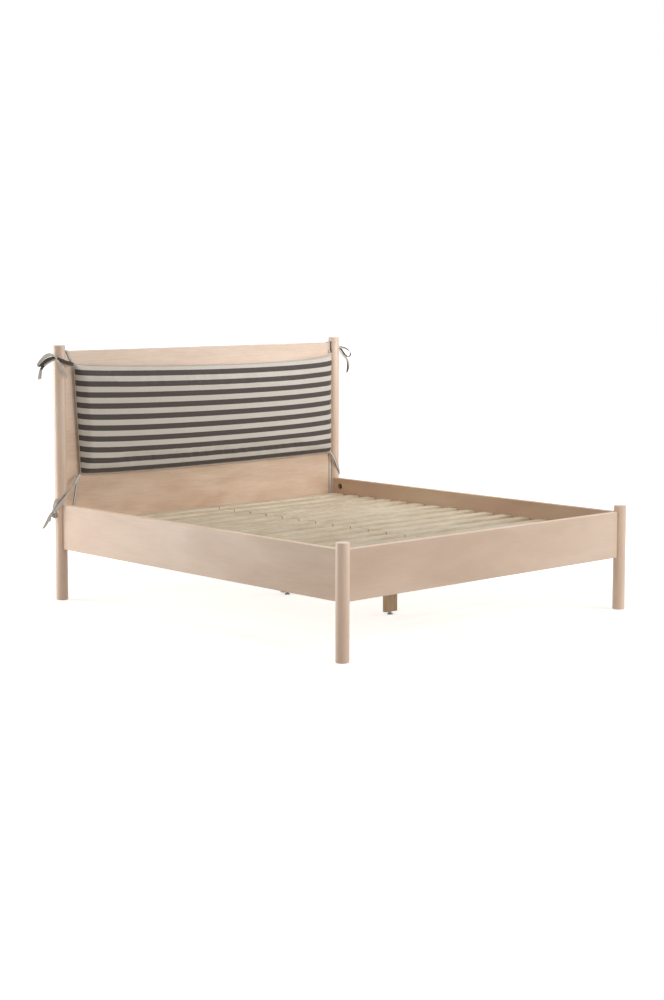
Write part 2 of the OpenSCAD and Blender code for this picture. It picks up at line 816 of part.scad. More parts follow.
function tape_along(route, i) =
    unit(route[min(i + 1, len(route) - 1)][0] - route[max(i - 1, 0)][0]);

// Normal of the tape's face at one route entry
function tape_normal(route, i) =
    let (along = tape_along(route, i),
         from_post = [route[i][0].x, route[i][0].y, 0])
    route[i][1] == ROUND ? unit(from_post - along * (from_post * along))
                         : unit(cross(along, route[i][1]));

// All normals of a tape, each on the side of the one before it
function tape_normals(route, done = []) =
    let (i = len(done))
    i == len(route) ? done :
    let (normal = tape_normal(route, i),
         same_side = i == 0 || normal * done[i - 1] >= 0)
    tape_normals(route, concat(done, [same_side ? normal : -normal]));

// Flat tape swept along a route
module tape(route) {
    n = len(TAPE_SECTION);
    rings = len(route);
    normals = tape_normals(route);
    points = [for (i = [0 : rings - 1])
        let (wide = cross(normals[i], tape_along(route, i)) * route[i][2] * tape_w / 2)
        for (s = TAPE_SECTION) route[i][0] + wide * s[0] + normals[i] * s[1] * tape_t / 2];
    sides = [for (i = [0 : rings - 2], k = [0 : n - 1])
        let (a = i * n + k, b = i * n + (k + 1) % n, c = b + n, d = a + n)
        each [[a, c, b], [a, d, c]]];
    caps = [[for (k = [0 : n - 1]) k], [for (k = [0 : n - 1]) rings * n - 1 - k]];
    polyhedron(points, concat(sides, caps));
}

// Tie routes. x runs outward from the head post's axis, y to the head from that
// axis, and z up from the pad's top corners or its bottom corners.
TOP_LEFT_KNOT = [34, -20, 29];
TOP_LEFT_FRONT = [
    [[-67, -30, -6], [0, 0, 1], 0.7], [[-57, -38, -6], [0, 0, 1], 1],
    [[-42, -43, -3], [0, 0, 1], 1.1], [[-24, -42, 2], [0, 0, 1], 1],
    [[-8, -39, 7], [0, 0, 1], 0.9], [[6, -36, 13], [0, 0, 1], 0.8],
    [[17, -32, 18], [0, 0, 1], 0.7], [[26, -28, 23], [0, 0, 1], 0.5],
    [[31, -24, 26], [0, 0, 1], 0.4]];
TOP_LEFT_OVER = [
    [[-70, -15, 4], [1, 0, 0], 0.5], [[-66, -13.4, 10], [1, 0, 0], 0.7],
    [[-56, -12.4, 26], [1, 0, 0], 0.8], [[-46, -12.4, 46], [1, 0, 0], 0.8],
    [[-39.5, -12.6, 61], [1, 0, 0], 0.8], [[-39, -9.5, 63.6], [1, 0, 0], 0.8],
    [[-39, 9.5, 63.6], [1, 0, 0], 0.8], [[-38, 12.8, 61], [1, 0, 0], 0.8],
    [[-31, 24, 48], ROUND, 1], [[-9, 34, 38], ROUND, 1], [[14, 32, 33], ROUND, 1],
    [[30, 18, 30], ROUND, 1], [[35, 4, 29], ROUND, 0.8], [[35, -8, 29], ROUND, 0.6],
    [[34, -14, 29], ROUND, 0.4]];
TOP_LEFT_LOOP = [
    [[36, -23, 33], [0, 0.6, 0.8], 0.4], [[44, -20, 40], [0, 0.6, 0.8], 0.6],
    [[56, -17, 45], [0, 0.6, 0.8], 0.7], [[70, -14, 45], [0, 0.6, 0.8], 0.8],
    [[90, -10, 36], [0, 0.6, 0.8], 0.8], [[109, -8, 19], [0.2, 0.7, 0.7], 0.8],
    [[122, -6, 5], [0.3, 0.8, 0.5], 0.8], [[127, -6, -3], [0.4, 0.9, 0], 0.8],
    [[121, -6, -9], [0.3, 0.9, 0.2], 0.8], [[107, -8, 0], [0.1, 0.7, 0.7], 0.8],
    [[87, -10, 14], [0, 0.6, 0.8], 0.8], [[69, -14, 24], [0, 0.6, 0.8], 0.8],
    [[52, -18, 29], [0, 0.6, 0.8], 0.7], [[40, -22, 28], [0, 0.6, 0.8], 0.4]];
TOP_LEFT_TAIL_OUT = [
    [[40, -22, 22], [0, 0.6, 0.8], 0.4], [[50, -20, 19], [0, 0.6, 0.8], 0.6],
    [[64, -18, 13], [0, 0.6, 0.8], 0.6], [[88, -16, 0], [0, 0.6, 0.8], 0.6],
    [[106, -13, -13], [0.4, 0.8, 0.4], 0.7], [[115, -12, -26], [0.6, 0.8, 0.1], 0.7],
    [[121, -12, -48], [0.8, 0.5, 0], 0.8], [[125, -12, -73], [0.9, 0.3, 0], 0.9]];
TOP_LEFT_TAIL_DOWN = [
    [[32, -27, 21], [1, 0.3, 0], 0.4], [[28, -33, 12], [1, 0.3, 0.3], 0.6],
    [[22, -37, 0], [1, 0.3, 0.4], 0.7], [[11, -40, -25], [1, 0.3, 0.5], 0.8],
    [[-4, -40, -49], [1, 0.3, 0.6], 0.8], [[-17, -40, -69], [1, 0.3, 0.6], 0.6]];

TOP_RIGHT_KNOT = [39, 2, 31];
TOP_RIGHT_NEAR = [
    [[-42, -23, 3], [1, 0, 0], 0.4], [[-38, -19, 14], [1, 0, 0], 0.5],
    [[-36.8, -13.5, 30], [1, 0, 0], 0.5], [[-36.5, -12.6, 44], [1, 0, 0], 0.5],
    [[-36.5, -12.6, 61], [1, 0, 0], 0.5], [[-36.5, -9.5, 63.6], [1, 0, 0], 0.5],
    [[-36.5, 9.5, 63.6], [1, 0, 0], 0.5], [[-35.5, 12.8, 61], [1, 0, 0], 0.5],
    [[-25, 25, 52], ROUND, 0.5], [[-4, 34, 47], ROUND, 0.5], [[18, 30, 42], ROUND, 0.5],
    [[32, 15, 38], ROUND, 0.5], [[36.5, 6, 34], ROUND, 0.4]];
TOP_RIGHT_FAR = [
    [[-48, -22, 3], [1, 0, 0], 0.4], [[-49, -16, 14], [1, 0, 0], 0.5],
    [[-49, -12.6, 30], [1, 0, 0], 0.6], [[-49, -12.6, 61], [1, 0, 0], 0.6],
    [[-49, -9.5, 63.6], [1, 0, 0], 0.6], [[-49, 9.5, 63.6], [1, 0, 0], 0.6],
    [[-48.5, 12.8, 61], [1, 0, 0], 0.6], [[-33, 25, 38], ROUND, 0.6],
    [[-9, 34, 29], ROUND, 0.6], [[15, 32, 25], ROUND, 0.6], [[31, 18, 25], ROUND, 0.6],
    [[36.5, 8, 28], ROUND, 0.4]];
TOP_RIGHT_LOOP = [
    [[41, 0, 33], [0, 0.6, 0.8], 0.4], [[50, -1, 32], [0, 0.6, 0.8], 0.6],
    [[62, -3, 30], [0, 0.6, 0.8], 0.8], [[85, -6, 24], [0, 0.7, 0.7], 0.9],
    [[109, -8, 12], [0.1, 0.8, 0.5], 0.9], [[122, -9, -4], [0.3, 0.9, 0], 0.9],
    [[118, -9, -18], [0.3, 0.9, 0], 0.9], [[100, -7, -24], [0.2, 0.9, 0], 0.8],
    [[86, -3, -15], [0.3, 0.8, 0.4], 0.8], [[74, 1, 2], [0.3, 0.8, 0.4], 0.8],
    [[62, 3, 17], [0.3, 0.8, 0.4], 0.8], [[50, 3, 26], [0.1, 0.7, 0.6], 0.6],
    [[41, 2, 29], [0, 0.6, 0.8], 0.4]];
TOP_RIGHT_TAIL = [
    [[41, 0, 25], [0.5, 0.8, 0.2], 0.4], [[45, -4, 12], [0.5, 0.8, 0.2], 0.5],
    [[52, -8, -2], [0.4, 0.8, 0.3], 0.6], [[66, -12, -16], [0.3, 0.8, 0.4], 0.7],
    [[80, -15, -28], [0.3, 0.8, 0.4], 0.8], [[91, -16, -42], [0.5, 0.8, 0.2], 0.9],
    [[98, -16, -62], [0.7, 0.7, 0], 1], [[97, -16, -86], [0.7, 0.7, 0], 1],
    [[87, -16, -112], [0.7, 0.7, 0], 0.5]];

BOTTOM_LEFT_KNOT = [39, 11, -184];
BOTTOM_LEFT_FRONT = [
    [[-97, -30, -3], [0.8, 0, 0.6], 0.6], [[-84, -38, -11], [0.8, 0, 0.6], 0.8],
    [[-70, -43, -22], [0.8, 0, 0.6], 0.8], [[-56, -44, -42], [0.8, 0.2, 0.6], 0.6],
    [[-36, -44, -67], [0.6, 0.6, 0.4], 0.5], [[-14, -41, -94], [0.8, 0.3, 0.5], 0.6],
    [[8, -36, -121], ROUND, 0.9], [[24, -28, -144], ROUND, 1],
    [[34, -14, -163], ROUND, 0.8], [[38, 1, -176], ROUND, 0.6],
    [[38.5, 6, -180], ROUND, 0.4]];
BOTTOM_LEFT_UNDER = [
    [[-103, -16, -8], [1, 0, 0], 0.4], [[-98, -13, -28], [1, 0, 0], 0.6],
    [[-91, -12.4, -50], [1, 0, 0], 0.7], [[-85, -12.4, -80], [1, 0, 0], 0.7],
    [[-78, -12.4, -115], [1, 0, 0], 0.7], [[-70, -12.4, -155], [1, 0, 0], 0.7],
    [[-62, -12.4, -200], [1, 0, 0], 0.7], [[-54, -12.4, -260], [1, 0, 0], 0.7],
    [[-46, -12.4, -330], [1, 0, 0], 0.7], [[-44, -12.4, -374.5], [1, 0, 0], 0.7],
    [[-44, -9.5, -377.4], [1, 0, 0], 0.7], [[-44, 9.5, -377.4], [1, 0, 0], 0.7],
    [[-43, 12.6, -374.5], [1, 0, 0], 0.7], [[-39, 15, -330], [1, -0.3, 0], 0.8],
    [[-31, 20, -285], ROUND, 0.9], [[-18, 30, -250], ROUND, 0.9],
    [[2, 35, -226], ROUND, 0.9], [[20, 30, -206], ROUND, 0.8],
    [[33, 18, -194], ROUND, 0.6], [[37.5, 14, -189], ROUND, 0.4]];
BOTTOM_LEFT_LOOP = [
    [[41, 6, -190], [0.2, 0.9, 0], 0.4], [[38.5, -1, -197], [0.2, 0.9, 0.3], 0.6],
    [[36.5, -5, -206], [0.2, 0.9, 0.2], 0.7], [[39, -6, -214], [0.2, 0.9, 0], 0.7],
    [[46, -3, -215], [0.2, 0.9, 0], 0.7], [[49, 2, -208], [0.2, 0.9, 0.2], 0.6],
    [[46, 7, -196], [0.2, 0.9, 0.3], 0.5], [[42, 10, -189], [0.2, 0.9, 0], 0.4]];
BOTTOM_LEFT_TAIL_UP = [
    [[40, 6, -177], [0.3, 0.9, 0.2], 0.4], [[41, -1, -162], [0.3, 0.9, 0.3], 0.7],
    [[38.5, -7, -146], [0.4, 0.8, 0.3], 0.8], [[35, -14, -125], [0.4, 0.8, 0.3], 0.7]];
BOTTOM_LEFT_TAIL_DOWN = [
    [[44, 12, -188], [0.3, 0.8, 0.5], 0.4], [[52, 11, -196], [0.3, 0.8, 0.5], 0.6],
    [[65, 9, -212], [0.4, 0.8, 0.4], 0.8], [[78, 7, -232], [0.4, 0.8, 0.4], 0.8],
    [[92, 5, -249], [0.4, 0.8, 0.4], 0.7], [[105, 3, -264], [0.4, 0.8, 0.4], 0.5]];
BOTTOM_LEFT_TAIL_SHORT = [
    [[42, 13, -188], [0.5, 0.8, 0], 0.4], [[50, 16, -203], [0.5, 0.8, 0], 0.6],
    [[56, 17, -216], [0.5, 0.8, 0], 0.6], [[60, 17, -233], [0.6, 0.8, 0], 0.6]];

BOTTOM_RIGHT_KNOT = [32.5, 21.5, -144];
BOTTOM_RIGHT_FRONT = [
    [[-46, -27, -4], [0.8, 0, 0.6], 0.5], [[-38, -34, -20], [0.8, 0, 0.6], 0.7],
    [[-26, -38, -42], [0.8, 0, 0.6], 0.7], [[-15, -38, -65], [0.8, 0, 0.6], 0.7],
    [[-5, -37, -84], ROUND, 0.7], [[6, -35, -100], ROUND, 0.7],
    [[19, -29, -114], ROUND, 0.8], [[30, -17, -125], ROUND, 0.9],
    [[34.5, -2, -134], ROUND, 0.9], [[34.5, 12, -141], ROUND, 0.6],
    [[33, 17, -143], ROUND, 0.4]];
BOTTOM_RIGHT_UNDER = [
    [[-46, -17, -8], [1, 0, 0], 0.5], [[-42, -13, -26], [1, 0, 0], 0.7],
    [[-39.5, -12.4, -60], [1, 0, 0], 0.8], [[-39.5, -12.4, -240], [1, 0, 0], 0.8],
    [[-41, -12.4, -374.5], [1, 0, 0], 0.8], [[-41, -9.5, -377.4], [1, 0, 0], 0.8],
    [[-41, 9.5, -377.4], [1, 0, 0], 0.8], [[-41, 12.6, -374.5], [1, 0, 0], 0.8],
    [[-38, 15, -325], [1, -0.3, 0], 0.8], [[-31, 20, -272], ROUND, 0.8],
    [[-18, 30, -224], ROUND, 0.9], [[1, 35, -182], ROUND, 0.9],
    [[18, 31, -158], ROUND, 0.8], [[29, 24, -147], ROUND, 0.4]];
BOTTOM_RIGHT_LOOP = [
    [[33, 25, -148], [0, 1, 0.4], 0.4], [[34, 36, -162], [0.2, 1, 0.4], 0.7],
    [[35, 42, -184], [0.4, 1, 0], 0.9], [[29, 44, -198], [0.4, 1, 0], 0.9],
    [[22, 41, -187], [0.4, 1, 0], 0.9], [[22, 37, -166], [0.2, 1, 0], 0.7],
    [[28, 26, -150], [0.2, 1, 0], 0.4]];
BOTTOM_RIGHT_TAIL = [
    [[36, 22, -147], [0.4, 0.9, 0], 0.4], [[42, 28, -172], [0.4, 0.9, 0], 0.7],
    [[41, 33, -205], [0.6, 0.8, 0], 0.9], [[38, 33, -238], [0.8, 0.6, 0], 0.9]];

// Draws one corner's tapes and their knot at a head post
module corner_tie(side, z, knot, routes) {
    color(tape_colour)
        translate([side * post_x, post_y, z]) flip_x(side < 0) {
            for (route = routes) tape(route);
            translate(knot) sphere(r = knot_r, $fn = knot_fn);
        }
}

module tie_top_left() {
    corner_tie(-1, pad_top, TOP_LEFT_KNOT,
               [TOP_LEFT_FRONT, TOP_LEFT_OVER, TOP_LEFT_LOOP,
                TOP_LEFT_TAIL_OUT, TOP_LEFT_TAIL_DOWN]);
}

module tie_top_right() {
    corner_tie(1, pad_top, TOP_RIGHT_KNOT,
               [TOP_RIGHT_NEAR, TOP_RIGHT_FAR, TOP_RIGHT_LOOP, TOP_RIGHT_TAIL]);
}

module tie_bottom_left() {
    corner_tie(-1, pad_bottom, BOTTOM_LEFT_KNOT,
               [BOTTOM_LEFT_FRONT, BOTTOM_LEFT_UNDER, BOTTOM_LEFT_LOOP,
                BOTTOM_LEFT_TAIL_UP, BOTTOM_LEFT_TAIL_DOWN, BOTTOM_LEFT_TAIL_SHORT]);
}

module tie_bottom_right() {
    corner_tie(1, pad_bottom, BOTTOM_RIGHT_KNOT,
               [BOTTOM_RIGHT_FRONT, BOTTOM_RIGHT_UNDER, BOTTOM_RIGHT_LOOP,
                BOTTOM_RIGHT_TAIL]);
}

// ---------------------------------------------------------------- nodes

head_post_left();
head_post_right();
foot_post_left();
foot_post_right();
headboard_panel();
side_rail_left();
side_rail_right();
foot_rail();
ledger_left();
ledger_right();
centre_beam();
beam_hanger_head();
beam_hanger_foot();
centre_leg_front();
centre_leg_rear();
leg_brackets();
leg_inserts();
levelling_pad_front();
levelling_pad_rear();
levelling_stud_front();
levelling_stud_rear();
rail_bolts();
crescent_washers();
rail_nuts();
rail_dowels();
panel_dowels();
ledger_screws();
slat_screws();
hanger_screws();
bracket_screws();
headboard_pad();
tie_top_left();
tie_top_right();
tie_bottom_left();
tie_bottom_right();
for (row = [1 : slat_rows])
    slat_row(row);
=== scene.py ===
# %% [markdown]
# A double bed in pale wood: four round posts, plain rails, a slatted deck and a
# headboard panel with a striped pad tied to it. The bed's solids come from a CAD
# model. Here they get their finishes, and the soft pieces get their real form: the
# pad and its tie tapes. Everything is in metres. +X is the bed's right seen from its
# foot, +Y points to its head, +Z up, and the origin is on the floor in its middle.

import math

import bpy
import numpy as np
from mathutils import Matrix, Vector


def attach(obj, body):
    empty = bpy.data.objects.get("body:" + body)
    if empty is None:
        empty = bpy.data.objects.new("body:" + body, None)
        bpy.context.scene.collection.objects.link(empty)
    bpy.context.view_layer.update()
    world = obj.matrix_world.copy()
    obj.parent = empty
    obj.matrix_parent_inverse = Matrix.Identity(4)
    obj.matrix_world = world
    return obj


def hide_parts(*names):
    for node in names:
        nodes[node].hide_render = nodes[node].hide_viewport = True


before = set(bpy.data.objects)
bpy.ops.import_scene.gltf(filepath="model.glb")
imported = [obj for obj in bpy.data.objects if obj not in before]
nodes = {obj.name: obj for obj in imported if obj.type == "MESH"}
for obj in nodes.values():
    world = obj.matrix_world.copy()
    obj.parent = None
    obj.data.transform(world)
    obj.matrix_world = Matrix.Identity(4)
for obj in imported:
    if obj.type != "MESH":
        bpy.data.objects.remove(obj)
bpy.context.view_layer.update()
BODY = "bed"

# %% [markdown]
# The camera stands where the photographer stood, in front of the bed's left foot
# corner. Its place and angles were found by fitting the posts, rails and panel. A
# pinhole camera needs only a place, three angles, a focal length in pixels and the
# pixel on its axis. The photograph is a crop, so that pixel isn't its middle, and a
# small lens shift takes care of that.

# %% Camera
PHOTO_W, PHOTO_H = 664, 1000
FOCAL_PX = 1857.83
AXIS_PX = (362.48, 461.79)
CAMERA_PLACE = Vector((-6.2292, -6.7020, 1.6537))
YAW, PITCH, ROLL = (math.radians(a) for a in (-43.682, 5.866, 0.182))
SENSOR_MM = 36

ahead = Vector((-math.sin(YAW) * math.cos(PITCH), math.cos(YAW) * math.cos(PITCH),
                -math.sin(PITCH)))
level_right = Vector((math.cos(YAW), math.sin(YAW), 0))
level_up = level_right.cross(ahead)
right = math.cos(ROLL) * level_right + math.sin(ROLL) * level_up
up = math.cos(ROLL) * level_up - math.sin(ROLL) * level_right

camera_data = bpy.data.cameras.new("camera")
camera_data.sensor_width = SENSOR_MM
camera_data.lens = FOCAL_PX * SENSOR_MM / PHOTO_H
camera_data.shift_x = (PHOTO_W / 2 - AXIS_PX[0]) / PHOTO_H
camera_data.shift_y = (AXIS_PX[1] - PHOTO_H / 2) / PHOTO_H
camera_data.clip_end = 60
camera = bpy.data.objects.new("camera", camera_data)
camera.matrix_world = Matrix.Translation(CAMERA_PLACE) @ Matrix(
    (right, up, -ahead)).transposed().to_4x4()
bpy.context.scene.collection.objects.link(camera)
bpy.context.scene.camera = camera
print("lens", round(camera_data.lens, 2), "mm")

# %% [markdown]
# The soft pieces could be sculpted, but they are all swept or gridded surfaces, so a
# few small helpers make every mesh. One turns points and faces into an object. One
# skins a row of rings, which serves for a tape, a knot's winding and a seam's piping
# alike. One draws a smooth line through chosen points. Cloth carries two facts along:
# "bands", which counts the stripes of the fabric, so that the pattern follows the
# cloth wherever it goes, and a UV map in metres for the weave.

# %% Mesh helpers
def mesh_object(name, points, faces, bands=None, cloth=None, smooth=True):
    mesh = bpy.data.meshes.new(name)
    mesh.from_pydata([tuple(p) for p in points], [], faces, shade_flat=not smooth)
    if bands is not None:
        mesh.attributes.new("bands", "FLOAT", "POINT").data.foreach_set(
            "value", np.asarray(bands, np.float32))
    if cloth is not None:
        corner_points = np.empty(len(mesh.loops), np.int32)
        mesh.loops.foreach_get("vertex_index", corner_points)
        uv = np.asarray(cloth, np.float32)[corner_points]
        mesh.uv_layers.new(name="cloth").data.foreach_set("uv", uv.ravel())
    piece = bpy.data.objects.new(name, mesh)
    bpy.context.scene.collection.objects.link(piece)
    return piece


def ring_faces(rings, sides, closed=False, first=0):
    """Faces of a skin over rings of points, with end caps unless it is closed."""
    faces = []
    for i in range(rings if closed else rings - 1):
        a, b = first + i * sides, first + (i + 1) % rings * sides
        for k in range(sides):
            n = (k + 1) % sides
            faces.append((a + k, a + n, b + n, b + k))
    if not closed:
        faces.append(tuple(first + k for k in reversed(range(sides))))
        faces.append(tuple(first + (rings - 1) * sides + k for k in range(sides)))
    return faces


def unit(v):
    return v / np.maximum(np.linalg.norm(v, axis=-1, keepdims=True), 1e-12)


def smooth_line(points, extras, step):
    """A Catmull-Rom curve through the points, with extras blended along it."""
    p = np.array(points, float)
    e = np.array(extras, float)
    p_ext = np.vstack([2 * p[0] - p[1], p, 2 * p[-1] - p[-2]])
    knots = np.concatenate(
        [[0], np.cumsum(np.sqrt(np.linalg.norm(np.diff(p_ext, axis=0), axis=1)))])
    line, carried = [], []
    for i in range(len(p) - 1):
        a, b, c, d = p_ext[i:i + 4]
        ta, tb, tc, td = knots[i:i + 4]
        count = max(2, round(np.linalg.norm(c - b) / step))
        for share in np.arange(count) / count:
            t = tb + share * (tc - tb)
            ab = ((tb - t) * a + (t - ta) * b) / (tb - ta)
            bc = ((tc - t) * b + (t - tb) * c) / (tc - tb)
            cd = ((td - t) * c + (t - tc) * d) / (td - tc)
            abc = ((tc - t) * ab + (t - ta) * bc) / (tc - ta)
            bcd = ((td - t) * bc + (t - tb) * cd) / (td - tb)
            line.append(((tc - t) * abc + (t - tb) * bcd) / (tc - tb))
            carried.append((1 - share) * e[i] + share * e[i + 1])
    return np.array(line + [p[-1]]), np.array(carried + [e[-1]])


print("helpers: mesh_object, ring_faces, unit, smooth_line")

# %% [markdown]
# Each of the pad's four corners has two flat tapes, sewn from the pad's own cotton
# and about 20 mm wide. They go round the head post and are tied in a bow. Cloth
# simulation doesn't tie bows, so a tape is modelled directly: a chosen route of
# points, a direction for its width at each point, and how much of its width shows
# where it is pulled together. The routes are the ones of the CAD model. x runs
# outward from the post's axis, y to the head from that axis, and z up from the pad's
# upper or lower corners.

# %% Routes of the tie tapes
ROUND = (0, 0, 0)  # the tape lies flat against the post here
UPRIGHT, SIDEWAYS, LEANING = (0, 0, 1), (1, 0, 0), (0, 0.6, 0.8)
POST_X, POST_Y = 0.9315, 1.035
PAD_TOP, PAD_BOTTOM = 1.190, 0.634

TOP_LEFT_KNOT = (0.034, -0.02, 0.029)
TOP_LEFT_FRONT = [
    ((-0.067, -0.03, -0.006), UPRIGHT, 0.8), ((-0.057, -0.038, -0.006), UPRIGHT, 1),
    ((-0.042, -0.043, -0.003), UPRIGHT, 1.1), ((-0.024, -0.042, 0.002), UPRIGHT, 1.1),
    ((-0.008, -0.039, 0.007), UPRIGHT, 1.1), ((0.006, -0.036, 0.013), UPRIGHT, 1.1),
    ((0.017, -0.032, 0.018), UPRIGHT, 1), ((0.026, -0.028, 0.023), UPRIGHT, 0.8),
    ((0.031, -0.024, 0.026), UPRIGHT, 0.45)]
TOP_LEFT_OVER = [
    ((-0.07, -0.015, 0.004), SIDEWAYS, 0.5), ((-0.066, -0.0134, 0.01), SIDEWAYS, 0.7),
    ((-0.056, -0.0124, 0.026), SIDEWAYS, 0.8), ((-0.046, -0.0124, 0.046), SIDEWAYS, 0.8),
    ((-0.0395, -0.0126, 0.061), SIDEWAYS, 0.8), ((-0.039, -0.0095, 0.0636), SIDEWAYS, 0.8),
    ((-0.039, 0.0095, 0.0636), SIDEWAYS, 0.8), ((-0.038, 0.0128, 0.061), SIDEWAYS, 0.8),
    ((-0.031, 0.024, 0.048), ROUND, 1), ((-0.009, 0.034, 0.038), ROUND, 1),
    ((0.014, 0.032, 0.033), ROUND, 1), ((0.03, 0.018, 0.03), ROUND, 1),
    ((0.035, 0.004, 0.029), ROUND, 0.8), ((0.035, -0.008, 0.029), ROUND, 0.6),
    ((0.034, -0.014, 0.029), ROUND, 0.4)]
TOP_LEFT_LOOP = [
    ((0.036, -0.023, 0.033), LEANING, 0.4), ((0.044, -0.02, 0.04), (0, 0.5, 0.8), 0.6),
    ((0.056, -0.017, 0.045), (0, 0.4, 0.9), 0.8), ((0.07, -0.014, 0.045), (0, 0.3, 0.9), 0.95),
    ((0.09, -0.01, 0.036), (0, 0.3, 0.9), 0.95), ((0.109, -0.008, 0.019), (0.2, 0.5, 0.8), 0.85),
    ((0.122, -0.006, 0.005), (0.3, 0.8, 0.5), 0.8), ((0.127, -0.006, -0.003), (0.4, 0.9, 0), 0.8),
    ((0.121, -0.006, -0.009), (0.3, 0.9, 0.2), 0.8), ((0.107, -0.008, 0), (0.1, 0.7, 0.7), 0.85),
    ((0.087, -0.01, 0.014), (0, 0.5, 0.8), 0.95), ((0.069, -0.014, 0.024), (0, 0.5, 0.8), 0.95),
    ((0.052, -0.018, 0.029), LEANING, 0.8), ((0.04, -0.022, 0.028), LEANING, 0.4)]
TOP_LEFT_TAIL_OUT = [
    ((0.04, -0.022, 0.022), LEANING, 0.4), ((0.05, -0.02, 0.019), LEANING, 0.6),
    ((0.064, -0.018, 0.013), LEANING, 0.6), ((0.088, -0.016, 0), LEANING, 0.6),
    ((0.106, -0.013, -0.013), (0.4, 0.8, 0.4), 0.7),
    ((0.115, -0.012, -0.026), (0.6, 0.8, 0.1), 0.7),
    ((0.121, -0.012, -0.048), (0.8, 0.5, 0), 0.8), ((0.125, -0.012, -0.073), (0.9, 0.3, 0), 0.9)]
TOP_LEFT_TAIL_DOWN = [
    ((0.032, -0.027, 0.021), (1, 0.3, 0), 0.4), ((0.028, -0.033, 0.012), (1, 0.3, 0.3), 0.6),
    ((0.022, -0.037, 0), (1, 0.3, 0.4), 0.6), ((0.011, -0.04, -0.025), (1, 0.3, 0.5), 0.7),
    ((-0.004, -0.04, -0.049), (1, 0.3, 0.6), 0.7),
    ((-0.017, -0.04, -0.069), (1, 0.3, 0.6), 0.45)]

TOP_RIGHT_KNOT = (0.039, 0.002, 0.031)
TOP_RIGHT_NEAR = [
    ((-0.042, -0.023, 0.003), SIDEWAYS, 0.4), ((-0.038, -0.019, 0.014), SIDEWAYS, 0.5),
    ((-0.0368, -0.0135, 0.03), SIDEWAYS, 0.5), ((-0.0365, -0.0126, 0.044), SIDEWAYS, 0.5),
    ((-0.0365, -0.0126, 0.061), SIDEWAYS, 0.5), ((-0.0365, -0.0095, 0.0636), SIDEWAYS, 0.5),
    ((-0.0365, 0.0095, 0.0636), SIDEWAYS, 0.5), ((-0.0355, 0.0128, 0.061), SIDEWAYS, 0.5),
    ((-0.025, 0.025, 0.052), ROUND, 0.5), ((-0.004, 0.034, 0.047), ROUND, 0.5),
    ((0.018, 0.03, 0.042), ROUND, 0.5), ((0.032, 0.015, 0.038), ROUND, 0.5),
    ((0.0365, 0.006, 0.034), ROUND, 0.4)]
TOP_RIGHT_FAR = [
    ((-0.048, -0.022, 0.003), SIDEWAYS, 0.4), ((-0.049, -0.016, 0.014), SIDEWAYS, 0.5),
    ((-0.049, -0.0126, 0.03), SIDEWAYS, 0.6), ((-0.049, -0.0126, 0.061), SIDEWAYS, 0.6),
    ((-0.049, -0.0095, 0.0636), SIDEWAYS, 0.6), ((-0.049, 0.0095, 0.0636), SIDEWAYS, 0.6),
    ((-0.0485, 0.0128, 0.061), SIDEWAYS, 0.6), ((-0.033, 0.025, 0.038), ROUND, 0.6),
    ((-0.009, 0.034, 0.029), ROUND, 0.6), ((0.015, 0.032, 0.025), ROUND, 0.6),
    ((0.031, 0.018, 0.025), ROUND, 0.6), ((0.0365, 0.008, 0.028), ROUND, 0.4)]
TOP_RIGHT_LOOP = [
    ((0.041, 0, 0.033), LEANING, 0.4), ((0.05, -0.001, 0.032), (0, 0.4, 0.9), 0.5),
    ((0.062, -0.003, 0.03), (0, 0.4, 0.9), 0.6), ((0.085, -0.006, 0.024), (0, 0.4, 0.9), 0.6),
    ((0.109, -0.008, 0.012), (0.2, 0.7, 0.6), 0.7), ((0.122, -0.009, -0.004), (0.4, 0.9, 0), 0.9),
    ((0.118, -0.009, -0.018), (0.3, 0.9, 0), 0.9), ((0.1, -0.007, -0.024), (0.2, 0.9, 0), 0.8),
    ((0.086, -0.003, -0.015), (0.5, -0.3, 0.7), 0.55),
    ((0.074, 0.001, 0.002), (0.5, -0.4, 0.7), 0.5), ((0.062, 0.003, 0.017), (0.5, -0.4, 0.7), 0.5),
    ((0.05, 0.003, 0.026), (0.4, -0.2, 0.8), 0.45),
    ((0.041, 0.002, 0.029), LEANING, 0.4)]
TOP_RIGHT_TAIL = [
    ((0.041, 0, 0.025), (0.5, 0.8, 0.2), 0.4), ((0.045, -0.004, 0.012), (0.8, 0.3, 0.3), 0.5),
    ((0.052, -0.008, -0.002), (0.8, -0.1, 0.4), 0.5),
    ((0.066, -0.012, -0.016), (0.6, -0.3, 0.6), 0.5),
    ((0.08, -0.015, -0.028), (0.6, -0.4, 0.6), 0.55),
    ((0.091, -0.016, -0.042), (0.8, -0.5, 0.3), 0.6),
    ((0.098, -0.016, -0.062), (0.8, -0.5, 0), 0.75), ((0.097, -0.016, -0.086), (0.8, -0.5, 0), 0.7),
    ((0.087, -0.016, -0.112), (0.8, -0.5, 0), 0.35)]

